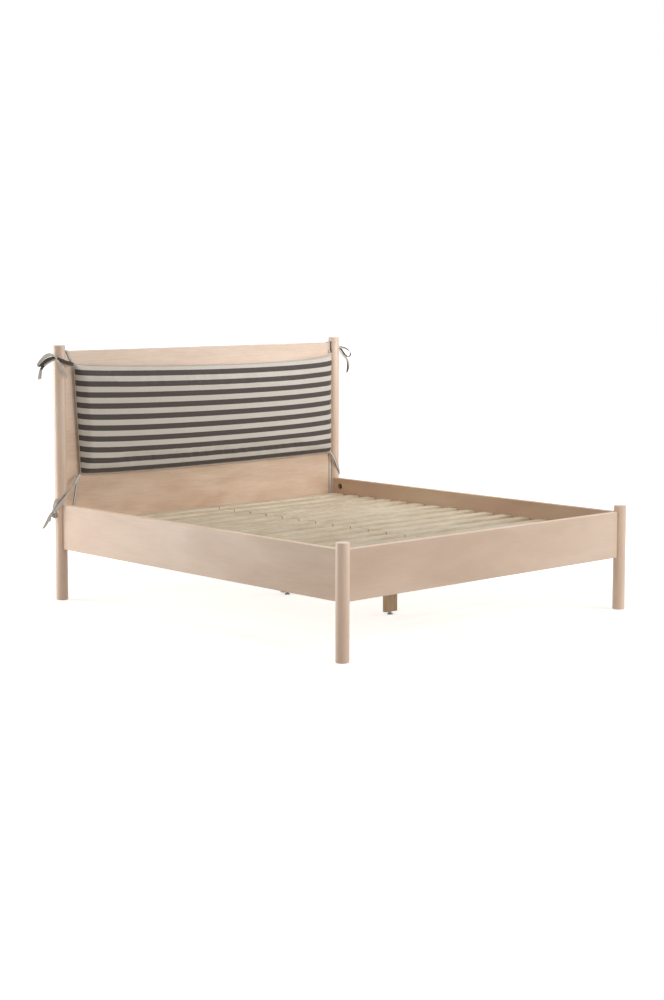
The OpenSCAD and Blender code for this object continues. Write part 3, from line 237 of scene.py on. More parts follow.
BOTTOM_LEFT_KNOT = (0.039, 0.011, -0.184)
BOTTOM_LEFT_FRONT = [
    ((-0.097, -0.03, -0.003), (0.8, 0, 0.6), 0.6), ((-0.084, -0.038, -0.011), (0.8, 0, 0.6), 0.8),
    ((-0.07, -0.043, -0.022), (0.8, 0, 0.6), 0.8), ((-0.056, -0.044, -0.042), (0.8, 0.2, 0.6), 0.6),
    ((-0.036, -0.044, -0.067), (0.6, 0.6, 0.4), 0.5),
    ((-0.014, -0.041, -0.094), (0.8, 0.3, 0.5), 0.6),
    ((0.008, -0.036, -0.121), ROUND, 0.9), ((0.024, -0.028, -0.144), ROUND, 1),
    ((0.034, -0.014, -0.163), ROUND, 0.8), ((0.038, 0.001, -0.176), ROUND, 0.6),
    ((0.0385, 0.006, -0.18), ROUND, 0.4)]
BOTTOM_LEFT_UNDER = [
    ((-0.103, -0.016, -0.008), SIDEWAYS, 0.4), ((-0.098, -0.013, -0.028), SIDEWAYS, 0.6),
    ((-0.091, -0.0124, -0.05), SIDEWAYS, 0.7), ((-0.085, -0.0124, -0.08), SIDEWAYS, 0.7),
    ((-0.078, -0.0124, -0.115), SIDEWAYS, 0.7), ((-0.07, -0.0124, -0.155), SIDEWAYS, 0.7),
    ((-0.062, -0.0124, -0.2), SIDEWAYS, 0.7), ((-0.054, -0.0124, -0.26), SIDEWAYS, 0.7),
    ((-0.046, -0.0124, -0.33), SIDEWAYS, 0.7), ((-0.044, -0.0124, -0.3745), SIDEWAYS, 0.7),
    ((-0.044, -0.0095, -0.3774), SIDEWAYS, 0.7), ((-0.044, 0.0095, -0.3774), SIDEWAYS, 0.7),
    ((-0.043, 0.0126, -0.3745), SIDEWAYS, 0.7), ((-0.039, 0.015, -0.33), (1, -0.3, 0), 0.8),
    ((-0.031, 0.02, -0.285), ROUND, 0.9), ((-0.018, 0.03, -0.25), ROUND, 0.9),
    ((0.002, 0.035, -0.226), ROUND, 0.9), ((0.02, 0.03, -0.206), ROUND, 0.8),
    ((0.033, 0.018, -0.194), ROUND, 0.6), ((0.0375, 0.014, -0.189), ROUND, 0.4)]
BOTTOM_LEFT_LOOP = [
    ((0.041, 0.006, -0.19), (0.2, 0.9, 0), 0.4), ((0.0385, -0.001, -0.197), (0.2, 0.9, 0.3), 0.6),
    ((0.0365, -0.005, -0.206), (0.2, 0.9, 0.2), 0.7), ((0.039, -0.006, -0.214), (0.2, 0.9, 0), 0.7),
    ((0.046, -0.003, -0.215), (0.2, 0.9, 0), 0.7), ((0.049, 0.002, -0.208), (0.2, 0.9, 0.2), 0.6),
    ((0.046, 0.007, -0.196), (0.2, 0.9, 0.3), 0.5), ((0.042, 0.01, -0.189), (0.2, 0.9, 0), 0.4)]
BOTTOM_LEFT_TAIL_UP = [
    ((0.04, 0.006, -0.177), (0.3, 0.9, 0.2), 0.4), ((0.041, -0.001, -0.162), (0.3, 0.9, 0.3), 0.7),
    ((0.0385, -0.007, -0.146), (0.4, 0.8, 0.3), 0.8),
    ((0.035, -0.014, -0.125), (0.4, 0.8, 0.3), 0.7)]
BOTTOM_LEFT_TAIL_DOWN = [
    ((0.044, 0.012, -0.188), (0.3, 0.8, 0.5), 0.4), ((0.052, 0.011, -0.196), (0.3, 0.8, 0.5), 0.6),
    ((0.065, 0.009, -0.212), (0.4, 0.8, 0.4), 0.8), ((0.078, 0.007, -0.232), (0.4, 0.8, 0.4), 0.8),
    ((0.092, 0.005, -0.249), (0.4, 0.8, 0.4), 0.7), ((0.105, 0.003, -0.264), (0.4, 0.8, 0.4), 0.5)]
BOTTOM_LEFT_TAIL_SHORT = [
    ((0.042, 0.013, -0.188), (0.5, 0.8, 0), 0.4), ((0.05, 0.016, -0.203), (0.5, 0.8, 0), 0.6),
    ((0.056, 0.017, -0.216), (0.5, 0.8, 0), 0.6), ((0.06, 0.017, -0.233), (0.6, 0.8, 0), 0.6)]

BOTTOM_RIGHT_KNOT = (0.0325, 0.0215, -0.144)
BOTTOM_RIGHT_FRONT = [
    ((-0.046, -0.027, -0.004), (0.8, 0, 0.6), 0.5), ((-0.038, -0.034, -0.02), (0.8, 0, 0.6), 0.7),
    ((-0.026, -0.038, -0.042), (0.8, 0, 0.6), 0.7), ((-0.015, -0.038, -0.065), (0.8, 0, 0.6), 0.7),
    ((-0.005, -0.037, -0.084), ROUND, 0.7), ((0.006, -0.035, -0.1), ROUND, 0.7),
    ((0.019, -0.029, -0.114), ROUND, 0.8), ((0.03, -0.017, -0.125), ROUND, 0.9),
    ((0.0345, -0.002, -0.134), ROUND, 0.9), ((0.0345, 0.012, -0.141), ROUND, 0.6),
    ((0.033, 0.017, -0.143), ROUND, 0.4)]
BOTTOM_RIGHT_UNDER = [
    ((-0.046, -0.017, -0.008), SIDEWAYS, 0.5), ((-0.042, -0.013, -0.026), SIDEWAYS, 0.7),
    ((-0.0395, -0.0124, -0.06), SIDEWAYS, 0.8), ((-0.0395, -0.0124, -0.24), SIDEWAYS, 0.8),
    ((-0.041, -0.0124, -0.3745), SIDEWAYS, 0.8), ((-0.041, -0.0095, -0.3774), SIDEWAYS, 0.8),
    ((-0.041, 0.0095, -0.3774), SIDEWAYS, 0.8), ((-0.041, 0.0126, -0.3745), SIDEWAYS, 0.8),
    ((-0.038, 0.015, -0.325), (1, -0.3, 0), 0.8), ((-0.031, 0.02, -0.272), ROUND, 0.8),
    ((-0.018, 0.03, -0.224), ROUND, 0.9), ((0.001, 0.035, -0.182), ROUND, 0.9),
    ((0.018, 0.031, -0.158), ROUND, 0.8), ((0.029, 0.024, -0.147), ROUND, 0.4)]
BOTTOM_RIGHT_LOOP = [
    ((0.033, 0.025, -0.148), (0, 1, 0.4), 0.4), ((0.034, 0.036, -0.162), (0.2, 1, 0.4), 0.7),
    ((0.035, 0.042, -0.184), (0.4, 1, 0), 0.9), ((0.029, 0.044, -0.198), (0.4, 1, 0), 0.9),
    ((0.022, 0.041, -0.187), (0.4, 1, 0), 0.9), ((0.022, 0.037, -0.166), (0.2, 1, 0), 0.7),
    ((0.028, 0.026, -0.15), (0.2, 1, 0), 0.4)]
BOTTOM_RIGHT_TAIL = [
    ((0.036, 0.022, -0.147), (0.4, 0.9, 0), 0.4), ((0.042, 0.028, -0.172), (0.4, 0.9, 0), 0.7),
    ((0.041, 0.033, -0.205), (0.6, 0.8, 0), 0.9), ((0.038, 0.033, -0.238), (0.8, 0.6, 0), 0.9)]
print("knots:", TOP_LEFT_KNOT, TOP_RIGHT_KNOT, BOTTOM_LEFT_KNOT, BOTTOM_RIGHT_KNOT)

# %% [markdown]
# A bow has two tapes, each of which comes from the pad, runs through the knot, may
# make a loop and ends in a tail. So the routes are joined in that order, one chain
# for each real tape. A curve object with a bevel could draw a ribbon, but it would
# need a tilt for each point to lie flat on the post, and could have no creases. So
# the tape is skinned from rings, whose directions follow from the route.
# The fabric is striped, and each tape was cut from it in its own place: "bands" says
# where, as values spread evenly along that part of the route. From 0 to 1 is light
# and from 1 to 2 dark. "across" is how many bands half the tape's width spans, and
# makes the dark or light line along a tape's edge.

# %% Tapes of the four ties
TAPE_W, TAPE_T = 0.020, 0.0016
TAPE_STEP = 0.003
CREASE, CREASE_LIMIT, CREASE_WAVES = 0.0011, 0.6, 2.5  # folds where it is pulled together
CUP, CUP_MIDDLE = 0.0006, 0.4  # its edges curl a little to the outer face
TIP_SKEW = 0.004
LOOP_GAP = 0.0022
ACROSS = np.array([-1, -0.95, -0.7, -0.35, 0, 0.35, 0.7, 0.95, 1])
THICKNESS = np.array([0.4, 1, 1, 1, 1, 1, 1, 1, 0.4])  # its edges are thin
SECTION_S = np.concatenate([ACROSS, ACROSS[::-1]])  # once round the tape: place across it
SECTION_FACE = np.concatenate([THICKNESS, -THICKNESS[::-1]])  # outer face, then inner one


def striped(route, bands, across=0.0):
    """The route with the band and the bands across half its width at each point."""
    spread = np.interp(np.linspace(0, 1, len(route)), np.linspace(0, 1, len(bands)), bands)
    return [(*entry, band, across) for entry, band in zip(route, spread, strict=True)]


def there_and_back(route):
    """A loop seen edge on: out along the route and back beside it."""
    back = [((x + LOOP_GAP, y + LOOP_GAP, z), width, share)
            for (x, y, z), width, share in route]
    return route + back[::-1]


def tape_frames(route):
    """Normals of the tape's face at the route's own points."""
    p = np.array([entry[0] for entry in route], float)
    along = unit(np.vstack([p[1] - p[0], p[2:] - p[:-2], p[-1] - p[-2]]))
    normals = []
    for point, direction, (_, width, *_) in zip(p, along, route, strict=True):
        if width == ROUND:
            out = np.array([point[0], point[1], 0])
            normal = unit(out - direction * (out @ direction))
        else:
            normal = unit(np.cross(direction, np.array(width, float)))
        if normals and normal @ normals[-1] < 0:
            normal = -normal
        normals.append(normal)
    return p, np.array(normals)


def tape(name, side, z, route):
    """One tape: its object, the line down its middle, its length and its width."""
    p, normals = tape_frames(route)
    rest = np.array([entry[2:] for entry in route], float)
    line, carried = smooth_line(p, np.hstack([normals, rest]), TAPE_STEP)
    along = unit(np.gradient(line, axis=0))
    normal = carried[:, :3] - along * (carried[:, :3] * along).sum(1, keepdims=True)
    normal = unit(normal)
    across = np.cross(normal, along)
    share, band, band_rate = carried[:, 3:].T
    run = np.concatenate([[0], np.cumsum(np.linalg.norm(np.diff(line, axis=0), axis=1))])

    s = SECTION_S
    tight = np.clip(1 - share, 0, CREASE_LIMIT)[:, None]
    lift = CREASE * tight * np.cos(CREASE_WAVES * math.pi * s) + CUP * (s * s - CUP_MIDDLE)
    lift = lift + SECTION_FACE * TAPE_T / 2
    points = (line[:, None] + across[:, None] * (share[:, None] * TAPE_W / 2 * s)[..., None]
              + normal[:, None] * lift[..., None])
    points[-1] += along[-1] * (TIP_SKEW * s)[:, None]

    flip = np.array([side, 1, 1])
    place = np.array([side * POST_X, POST_Y, z])
    points = points * flip + place
    count = band[:, None] + band_rate[:, None] * s
    cloth = np.stack(np.broadcast_arrays(run[:, None], s * TAPE_W / 2), -1)
    faces = ring_faces(len(line), len(s))
    if side < 0:
        faces = [f[::-1] for f in faces]
    piece = mesh_object(name, points.reshape(-1, 3), faces, count.ravel(),
                        cloth.reshape(-1, 2))
    return piece, line * flip + place, float(run[-1]), TAPE_W * min(1.0, share.max())


TIES = {
    "tie_top_left": (-1, PAD_TOP, TOP_LEFT_KNOT, {
        "front": striped(TOP_LEFT_FRONT, (1.42,), 0.5)
        + striped(TOP_LEFT_TAIL_DOWN, (0.5,), 0.15),
        "over": striped(TOP_LEFT_OVER, (0.7,), 0.4)
        + striped(TOP_LEFT_LOOP, (0.5, 0.5, 0.8, 1.5, 1.5))
        + striped(TOP_LEFT_TAIL_OUT, (0.6, 0.5, 0.6, 1.4, 0.7, 0.5)),
    }),
    "tie_top_right": (1, PAD_TOP, TOP_RIGHT_KNOT, {
        "near": striped(TOP_RIGHT_NEAR, (1.5,))
        + striped(TOP_RIGHT_TAIL, (0.6, 0.7, 0.85, 1.3), 0.25),
        "far": striped(TOP_RIGHT_FAR, (0.5,))
        + striped(TOP_RIGHT_LOOP, (0.95, 1.05, 1.4, 1.5, 1.5), 0.4),
    }),
    "tie_bottom_left": (-1, PAD_BOTTOM, BOTTOM_LEFT_KNOT, {
        "front": striped(BOTTOM_LEFT_FRONT, (0.6,), 0.55)
        + striped(there_and_back(BOTTOM_LEFT_TAIL_UP) + BOTTOM_LEFT_TAIL_DOWN, (0.5,), 0.3),
        "under": striped(BOTTOM_LEFT_UNDER + BOTTOM_LEFT_LOOP + BOTTOM_LEFT_TAIL_SHORT,
                         (0.5,), 0.6),
    }),
    "tie_bottom_right": (1, PAD_BOTTOM, BOTTOM_RIGHT_KNOT, {
        "front": striped(BOTTOM_RIGHT_FRONT + BOTTOM_RIGHT_TAIL, (0.5,), 0.7),
        "under": striped(BOTTOM_RIGHT_UNDER + BOTTOM_RIGHT_LOOP, (0.5,), 0.65),
    }),
}
print("ties:", {node: list(tapes) for node, (*_, tapes) in TIES.items()})

# %% [markdown]
# The knot of each bow is where both tapes wrap each other. A plain lump would look
# like putty, so it has a small folded core and a winding of tape round it, with its
# turns lying a little askew, the way a pulled bow looks. Each knot and each tape is a
# piece of its own.

# %% Knots
CORE_R, CORE_LENGTH, CORE_BULGE = 0.0052, 1.35, 0.12  # its length and bulges as shares
CORE_RINGS, CORE_SIDES = 10, 14
CORE_BANDS, WRAP_BANDS = 0.5, 0.3  # how many bands half of each spans
WRAP_R, WRAP_CLIMB, WRAP_SHIFT = 0.0062, 0.0012, 0.0016
WRAP_W, WRAP_T, WRAP_CUP, WRAP_LEAN = 0.0095, 0.0015, 0.0008, 0.35
WRAP_TURNS, WRAP_STEPS = 1.7, 40
OFF_AXIS = (0.3, 0.2, 0.9)  # no knot has its axis this way


def knot(name, side, z, centre, axis, core_band, wrap_band):
    """Core and winding in one piece. The bands say which stripe each one shows."""
    place = np.array([side * POST_X, POST_Y, z]) + np.array(centre) * (side, 1, 1)
    axis = unit(np.array(axis, float) * (side, 1, 1))
    first = unit(np.cross(axis, OFF_AXIS))
    second = np.cross(axis, first)
    points, count = [], []
    for i in range(CORE_RINGS):
        lat = math.pi * (i + 0.5) / CORE_RINGS
        for k in range(CORE_SIDES):
            lon = 2 * math.pi * k / CORE_SIDES
            bulge = CORE_R * (1 + CORE_BULGE * math.sin(3 * lon + 2 * lat))
            points.append(place + axis * (CORE_LENGTH * bulge * math.cos(lat))
                          + (first * math.cos(lon) + second * math.sin(lon))
                          * bulge * math.sin(lat))
            count.append(core_band + CORE_BANDS * math.cos(lat))
    faces = ring_faces(CORE_RINGS, CORE_SIDES)

    start = len(points)
    for i in range(WRAP_STEPS):
        share = i / (WRAP_STEPS - 1)
        turn = 2 * math.pi * WRAP_TURNS * share
        out = first * math.cos(turn) + second * math.sin(turn)
        lean = axis + WRAP_LEAN * math.sin(turn) * first
        radius = WRAP_R + WRAP_CLIMB * share
        shift = axis * (WRAP_SHIFT * (share - 0.5))
        for s, face in zip(SECTION_S, SECTION_FACE, strict=True):
            lift = radius + WRAP_T / 2 * face - WRAP_CUP * s * s
            points.append(place + shift + out * lift + unit(lean) * (s * WRAP_W / 2))
            count.append(wrap_band + WRAP_BANDS * s)
    faces += ring_faces(WRAP_STEPS, len(SECTION_S), first=start)
    return mesh_object(name, points, faces, count, np.zeros((len(points), 2)))


KNOTS = {  # axis of the winding, band of the core and of the winding
    "tie_top_left": ((0.8, 0.2, 0.4), 1.5, 0.5),
    "tie_top_right": ((0.8, -0.3, 0.2), 1.5, 0.5),
    "tie_bottom_left": ((0.5, 0.2, -0.8), 1.5, 0.5),
    "tie_bottom_right": ((0.3, 0.5, -0.8), 0.5, 0.5),
}
tie_pieces = []
for node, (side, z, centre, tapes) in TIES.items():
    bow = knot(node + "_knot", side, z, centre, *KNOTS[node])
    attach(bow, BODY)
    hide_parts(node)
    tie_pieces.append(bow)
    for i, (part, route) in enumerate(tapes.items()):
        piece, line, length, width = tape(f"{node}_{part}", side, z, route)
        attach(piece, BODY)
        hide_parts(node)
        tie_pieces.append(piece)
        print(piece.name, "length", round(length, 3), "m, width", round(width, 3))

# %% [markdown]
# The pad is a sewn cotton cover over a soft filling, 1.75 m wide. It hangs from its
# tied corners, so its long edges sag a little, and its ends lean outward to the top.
# A cube with a subdivision modifier would give a pillow, but not this outline or even
# stripes. So the cover is a grid over front and back, closed along the seam, that
# follows the outline from a few measures. The stripes are counted from its upper
# seam. The filling's weight spreads them: the upper ones sit up to a fifth of a band
# higher than an even count puts them, the lower ones as much lower, and the sewn ends
# hold them in place.

# %% The pad's outline and grid
PAD_SAG, PAD_DROOP, SAG_SKEW = 0.035, 0.014, 0.3
PAD_LEFT = (-0.827, -0.862)
PAD_RIGHT = (0.883, 0.886)
PAD_BACK_Y = 1.0237
PAD_DEPTH, PAD_RIM, PAD_EDGE, PAD_CROWN = 0.058, 0.014, 0.045, 0.14
PAD_COLS, PAD_ROWS = 176, 56
PAD_S, PAD_T = np.meshgrid(np.linspace(-1, 1, PAD_COLS + 1), np.linspace(-1, 1, PAD_ROWS + 1))
FRONT = PAD_S.size  # the points of front and seam come first, then those of the back
CLOTH_HALF = (0.87, 0.278)  # half the cover's width and height, for its weave
BAND_COUNT = 20
PIPING_SHARE = 0.006  # of the height, below the last dark stripe
BAND_STRETCH, STRETCH_WAVE = 0.22, 1.25  # in bands, and in half waves down the pad
SEAM_HOLD, END_HOLD = 20, 4  # the higher, the closer to the seam or the ends it acts
SLACK_START = 0.88  # depth of the unfilled cover, as a share


def edge_rise(distance):
    """From 0 at the seam to 1 where the pad has its full depth, as a quarter round."""
    return np.sqrt(1 - (1 - np.clip(distance / PAD_EDGE, 0, 1)) ** 2)


def pad_points(s, t, front, depth=1.0):
    """Points of the pad's skin: s runs from its left to its right, t up, -1 to 1."""
    share = (t + 1) / 2
    left = PAD_LEFT[0] + share * (PAD_LEFT[1] - PAD_LEFT[0])
    right_x = PAD_RIGHT[0] + share * (PAD_RIGHT[1] - PAD_RIGHT[0])
    half = (right_x - left) / 2
    bow = np.sqrt(np.maximum(0, 1 - s * s))
    top = PAD_TOP - PAD_SAG * bow * (1 + SAG_SKEW * s)
    bottom = PAD_BOTTOM - PAD_DROOP * bow * (1 - SAG_SKEW * s)
    half_h = (PAD_TOP - PAD_BOTTOM) / 2
    rise = edge_rise(half * (1 - abs(s))) * edge_rise(half_h * (1 - abs(t)))
    crown = 1 - PAD_CROWN * (1 - (1 - s * s) * (1 - t * t))
    out = -rise * crown * (PAD_DEPTH - PAD_RIM) * depth if front else rise * PAD_RIM
    return np.stack([(left + right_x) / 2 + s * half, PAD_BACK_Y - PAD_RIM + out,
                     bottom + share * (top - bottom)], -1)


def pad_grid():
    """The closed pad: its points, faces, stripes, cloth coordinates and pinned points."""
    s, t = PAD_S, PAD_T
    rim = (abs(s) == 1) | (abs(t) == 1)
    front = pad_points(s, t, True, SLACK_START).reshape(-1, 3)
    back = pad_points(s, t, False)[~rim]
    number = np.arange(FRONT).reshape(s.shape)
    behind = number.copy()
    behind[~rim] = FRONT + np.arange((~rim).sum())
    faces = []
    for grid, flip in ((number, False), (behind, True)):
        a, b, c, d = grid[:-1, :-1], grid[:-1, 1:], grid[1:, 1:], grid[1:, :-1]
        quads = np.stack([a, b, c, d], -1).reshape(-1, 4).tolist()
        faces += [q[::-1] for q in quads] if flip else quads
    low = (1 - t) / 2
    held = (1 - low ** SEAM_HOLD) * (1 - s ** END_HOLD)
    stretch = BAND_STRETCH * np.cos(STRETCH_WAVE * math.pi * low) * held
    down = low * (BAND_COUNT / (1 - PIPING_SHARE)) + stretch
    bands = np.concatenate([down.ravel(), down[~rim]])
    cloth = np.stack([s * CLOTH_HALF[0], t * CLOTH_HALF[1]], -1)
    cloth = np.concatenate([cloth.reshape(-1, 2), cloth[~rim]])
    pinned = np.concatenate([np.flatnonzero(rim.ravel()), np.arange(FRONT, len(bands))])
    return np.vstack([front, back]), faces, bands, cloth, pinned


pad_skin, pad_faces, pad_bands, pad_cloth, pad_pinned = pad_grid()
pad = mesh_object("headboard_pad_cover", pad_skin, pad_faces, pad_bands, pad_cloth)
print("pad grid:", len(pad_skin), "points")

# %% [markdown]
# Inside the cover is loose fibre, which pushes evenly to all sides. A formula could
# round the cover, but it would look like moulded foam. A short cloth simulation with
# air pressure gives the even crown and the small puckers along the seam. The seam and
# the back, which lies against the panel, are pinned. The other points start a little
# rough, so that the cloth finds its own puckers, and none may move further than a
# filling would push it.

# %% Fill the pad
SIM_FRAMES, SIM_PRESSURE = 20, 3.0
START_SEED, START_ROUGH = 7, 0.0004
SLIDE = np.array([0.25, 1, 0.25])  # the filling pushes outward, and hardly shifts the cover
FARTHEST = 0.009


def vertex_array(obj):
    data = np.empty(len(obj.data.vertices) * 3, np.float32)
    obj.data.vertices.foreach_get("co", data)
    return data.reshape(-1, 3).astype(float)


def simulate_filling(piece):
    """Runs the cloth and returns where it took the points."""
    group = piece.vertex_groups.new(name="pinned")
    group.add(pad_pinned.tolist(), 1.0, "REPLACE")
    modifier = piece.modifiers.new("filling", "CLOTH")
    cloth = modifier.settings
    cloth.quality = 6
    cloth.mass = 0.3
    cloth.tension_stiffness = cloth.compression_stiffness = 15
    cloth.bending_stiffness = 0.4
    cloth.use_pressure = True
    cloth.uniform_pressure_force = SIM_PRESSURE
    cloth.shrink_min = cloth.shrink_max = -0.012
    cloth.vertex_group_mass = "pinned"
    cloth.effector_weights.gravity = 0
    modifier.collision_settings.use_collision = False
    modifier.point_cache.frame_start = 1
    modifier.point_cache.frame_end = SIM_FRAMES
    scene = bpy.context.scene
    for number in range(1, SIM_FRAMES + 1):
        scene.frame_set(number)
    settled = vertex_array(piece.evaluated_get(bpy.context.evaluated_depsgraph_get()))
    piece.modifiers.remove(modifier)
    piece.vertex_groups.clear()
    scene.frame_set(1)
    return settled


rng = np.random.default_rng(START_SEED)
rest_points = vertex_array(pad)
rough = rest_points + rng.normal(0, START_ROUGH, rest_points.shape)
rough[pad_pinned] = rest_points[pad_pinned]
pad.data.vertices.foreach_set("co", rough.astype(np.float32).ravel())
filled = simulate_filling(pad)
travel = (filled - rest_points) * SLIDE
reach = np.linalg.norm(travel, axis=1, keepdims=True)
travel *= np.minimum(1, FARTHEST / np.maximum(reach, 1e-9))
filled = rest_points + travel
print("filling moved the cover up to", round(float(reach.max()) * 1000, 1), "mm")

# %% [markdown]
# The tapes pull at the pad's corners, and fabric answers a pull with folds that fan
# out from it. The lower seam is gathered a little by its stitching. The simulation
# knows of neither, and sculpting them could not be repeated. Both are shallow waves,
# so they are added to the filled cover as formulas, fading away from the corner or
# the seam. A subdivision then makes the cover smooth.

# %% Folds at the corners and the gathered seam
FOLD_HEIGHT, FOLD_START, FOLD_REACH, FOLD_COUNT = 0.0045, 0.02, 0.075, 9
GATHER_HEIGHT, GATHER_REACH, GATHER_PITCH, GATHER_DRIFT = 0.0013, 0.016, 0.037, 0.31
PULLS = (  # x and z of each corner, and how hard its tapes pull
    (PAD_LEFT[1], PAD_TOP, 1.0), (PAD_RIGHT[1], PAD_TOP, 0.8),
    (PAD_LEFT[0], PAD_BOTTOM, 0.8), (PAD_RIGHT[0], PAD_BOTTOM, 0.7))

loose = np.ones(len(filled), bool)
loose[pad_pinned] = False
for corner_x, corner_z, strength in PULLS:
    dx, dz = filled[:, 0] - corner_x, filled[:, 2] - corner_z
    far = np.hypot(dx, dz)
    angle = np.arctan2(abs(dz), abs(dx))
    fade = np.exp(-far / FOLD_REACH) * np.clip(far / FOLD_START, 0, 1)
    fold = strength * FOLD_HEIGHT * np.cos(FOLD_COUNT * angle) * fade
    filled[:, 1] += np.where(loose, fold, 0)
low = filled[:, 2] - (PAD_BOTTOM - PAD_DROOP * np.sqrt(
    np.clip(1 - (filled[:, 0] / PAD_RIGHT[0]) ** 2, 0, 1)))
gather = GATHER_HEIGHT * np.exp(-np.clip(low, 0, 1) / GATHER_REACH)
phase = 2 * math.pi * filled[:, 0] / GATHER_PITCH
ripple = gather * np.sin(phase + np.sin(phase * GATHER_DRIFT))
filled[:, 1] += np.where(loose, ripple, 0)
filled[:, 1] = np.minimum(filled[:, 1], PAD_BACK_Y)
pad.data.vertices.foreach_set("co", filled.astype(np.float32).ravel())
pad.data.update()

subdivision = pad.modifiers.new("fine", "SUBSURF")
subdivision.levels = subdivision.render_levels = 1
graph = bpy.context.evaluated_depsgraph_get()
fine = bpy.data.meshes.new_from_object(pad.evaluated_get(graph), preserve_all_data_layers=True,
                                       depsgraph=graph)
pad.modifiers.clear()
pad.data = fine
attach(pad, BODY)
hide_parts("headboard_pad")
print("pad cover:", len(pad.data.vertices), "points")

# %% [markdown]
# A thin light welt runs round the pad where front and back are sewn together. It
# shows along the left end and below the last dark stripe. A bevelled curve would do,
# but it would be as even as a wire. So this soft roll of fabric is skinned round the
# pad's own outline, and its stitching makes it waver and swell slightly.

# %% Welt along the pad's seam
WELT_R, WELT_SIDES, WELT_STEP = 0.0017, 8, 0.006
SEAM_SAMPLES = 300
WELT_WAVER = ((0.0009, 0.0093, 0), (0.0006, 0.0217, 1))  # height, length over 2 pi, start
WELT_SWELL = (0.12, 0.0061)  # share, length over 2 pi
LIGHT_BAND = 0.5  # the middle of a light stripe


def welt_line():
    """The pad's outline at the seam, once round, without a doubled corner."""
    u = np.linspace(-1, 1, SEAM_SAMPLES)
    one = np.ones_like(u)
    sides = [pad_points(u, -one, True), pad_points(one, u, True),
             pad_points(-u, one, True), pad_points(-one, -u, True)]
    line = np.vstack([side[:-1] for side in sides])
    run = np.concatenate([[0], np.cumsum(np.linalg.norm(np.diff(line, axis=0), axis=1))])
    at = np.arange(0, run[-1], WELT_STEP)
    return np.stack([np.interp(at, run, line[:, k]) for k in range(3)], -1), at


seam, seam_run = welt_line()
seam[:, 1] += sum(height * np.sin(seam_run / length + begin)
                  for height, length, begin in WELT_WAVER)
seam_along = unit(np.roll(seam, -1, 0) - np.roll(seam, 1, 0))
seam_out = np.cross(seam_along, (0, 1, 0))
turn = 2 * math.pi * np.arange(WELT_SIDES) / WELT_SIDES
radius = WELT_R * (1 + WELT_SWELL[0] * np.sin(seam_run / WELT_SWELL[1]))[:, None, None]
welt_points = seam[:, None] + radius * (
    seam_out[:, None] * np.cos(turn)[None, :, None]
    + np.array([0, 1, 0]) * np.sin(turn)[None, :, None])
welt = mesh_object("headboard_pad_welt", welt_points.reshape(-1, 3),
                   ring_faces(len(seam), WELT_SIDES, closed=True),
                   np.full(len(seam) * WELT_SIDES, LIGHT_BAND),
                   np.repeat(np.stack([seam_run, seam_run * 0], -1), WELT_SIDES, 0))
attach(welt, BODY)
print("welt:", round(float(seam_run[-1]), 2), "m round the pad")

# %% [markdown]
# A material is a small network of nodes. It could be put together by hand in the
# shader editor, but as code it can be read, repeated and compared. Colours are
# written as the hex values that a screen shows, and one function turns them to the
# linear values that light needs. Another adds a node with its settings and links.
# Every pattern below gets its scale from a real size in millimetres.

# %% Colours and nodes
MIX_SHARE, MIX_A, MIX_B, MIX_OUT = 0, 6, 7, 2  # the colour sockets of a Mix node


def linear(hex_colour):
    channels = [int(hex_colour[i:i + 2], 16) / 255 for i in (1, 3, 5)]
    return tuple(c / 12.92 if c <= 0.04045 else ((c + 0.055) / 1.055) ** 2.4
                 for c in channels) + (1,)


def add(tree, kind, inputs=(), **settings):
    """Adds a node. inputs gives a value, or the output to link, for each socket."""
    made = tree.nodes.new(kind)
    for key, value in settings.items():
        setattr(made, key, value)
    for socket, value in dict(inputs).items():
        if isinstance(value, bpy.types.NodeSocket):
            tree.links.new(value, made.inputs[socket])
        else:
            made.inputs[socket].default_value = value
    return made


def new_material(name):
    material = bpy.data.materials.new(name)
    material.use_nodes = True
    material.node_tree.nodes.clear()
    return material, material.node_tree


def per_metre(millimetres):
    """Scale of a pattern whose features are this many millimetres apart."""
    return 1000 / millimetres


print("a screen's middle grey is linear", round(linear("#808080")[0], 3))

# %% [markdown]
# The frame is pale beech under a clear matt lacquer. Beech is pinkish and nearly
# plain: broad soft patches, fine streaks along the grain a few millimetres apart,
# and tiny dark flecks, the wood's rays. Lacquer keeps the surface smooth and gives a
# soft, wide highlight, which is why the round posts show pale lines down their sides.
# A photograph of planks could be laid on, but it would repeat and show seams. Noise
# stretched along the grain doesn't, and as the grain runs along each piece, one
# function serves for posts, rails, panel and slats. The flecks are really about 1 mm
# long; they are drawn 5 mm long, so that they show.
#
# More than the grain changes how dark a face is, and all of it is multiplied. Cut
# ends drink in more lacquer; on the slats their ends are made far darker still, as
# painted shade of the gaps where the slat halves meet. Faces that look up are lighter
# on the left and foot rails and on the posts, as painted light, and darker on the bare
# slats, as painted shade. No two slats come from the same board. The panel is glued up
# from boards, and it is made lighter toward its top, as painted light.

# %% Wood
GRAIN_STRETCH, FLECK_STRETCH, PATCH_STRETCH = 16, 4, 3.2
STREAK_MM, PATCH_MM, FLECK_MM = 7, 190, 2.2
DEEP_AT, MIDDLE_AT, PALE_AT = 0.30, 0.5, 0.72  # values of the noise for the three tones
DARKEST_BOARD = 0.95
# painted light: the panel is made lighter toward its top
PAINTED_LIGHT_TONE, PAINTED_LIGHT_SHARE, PAINTED_LIGHT_FROM = "#f2dfd0", 0.55, 0.6  # up to the pad's top edge
WOOD_RELIEF, WOOD_DEPTH = 0.12, 0.0006


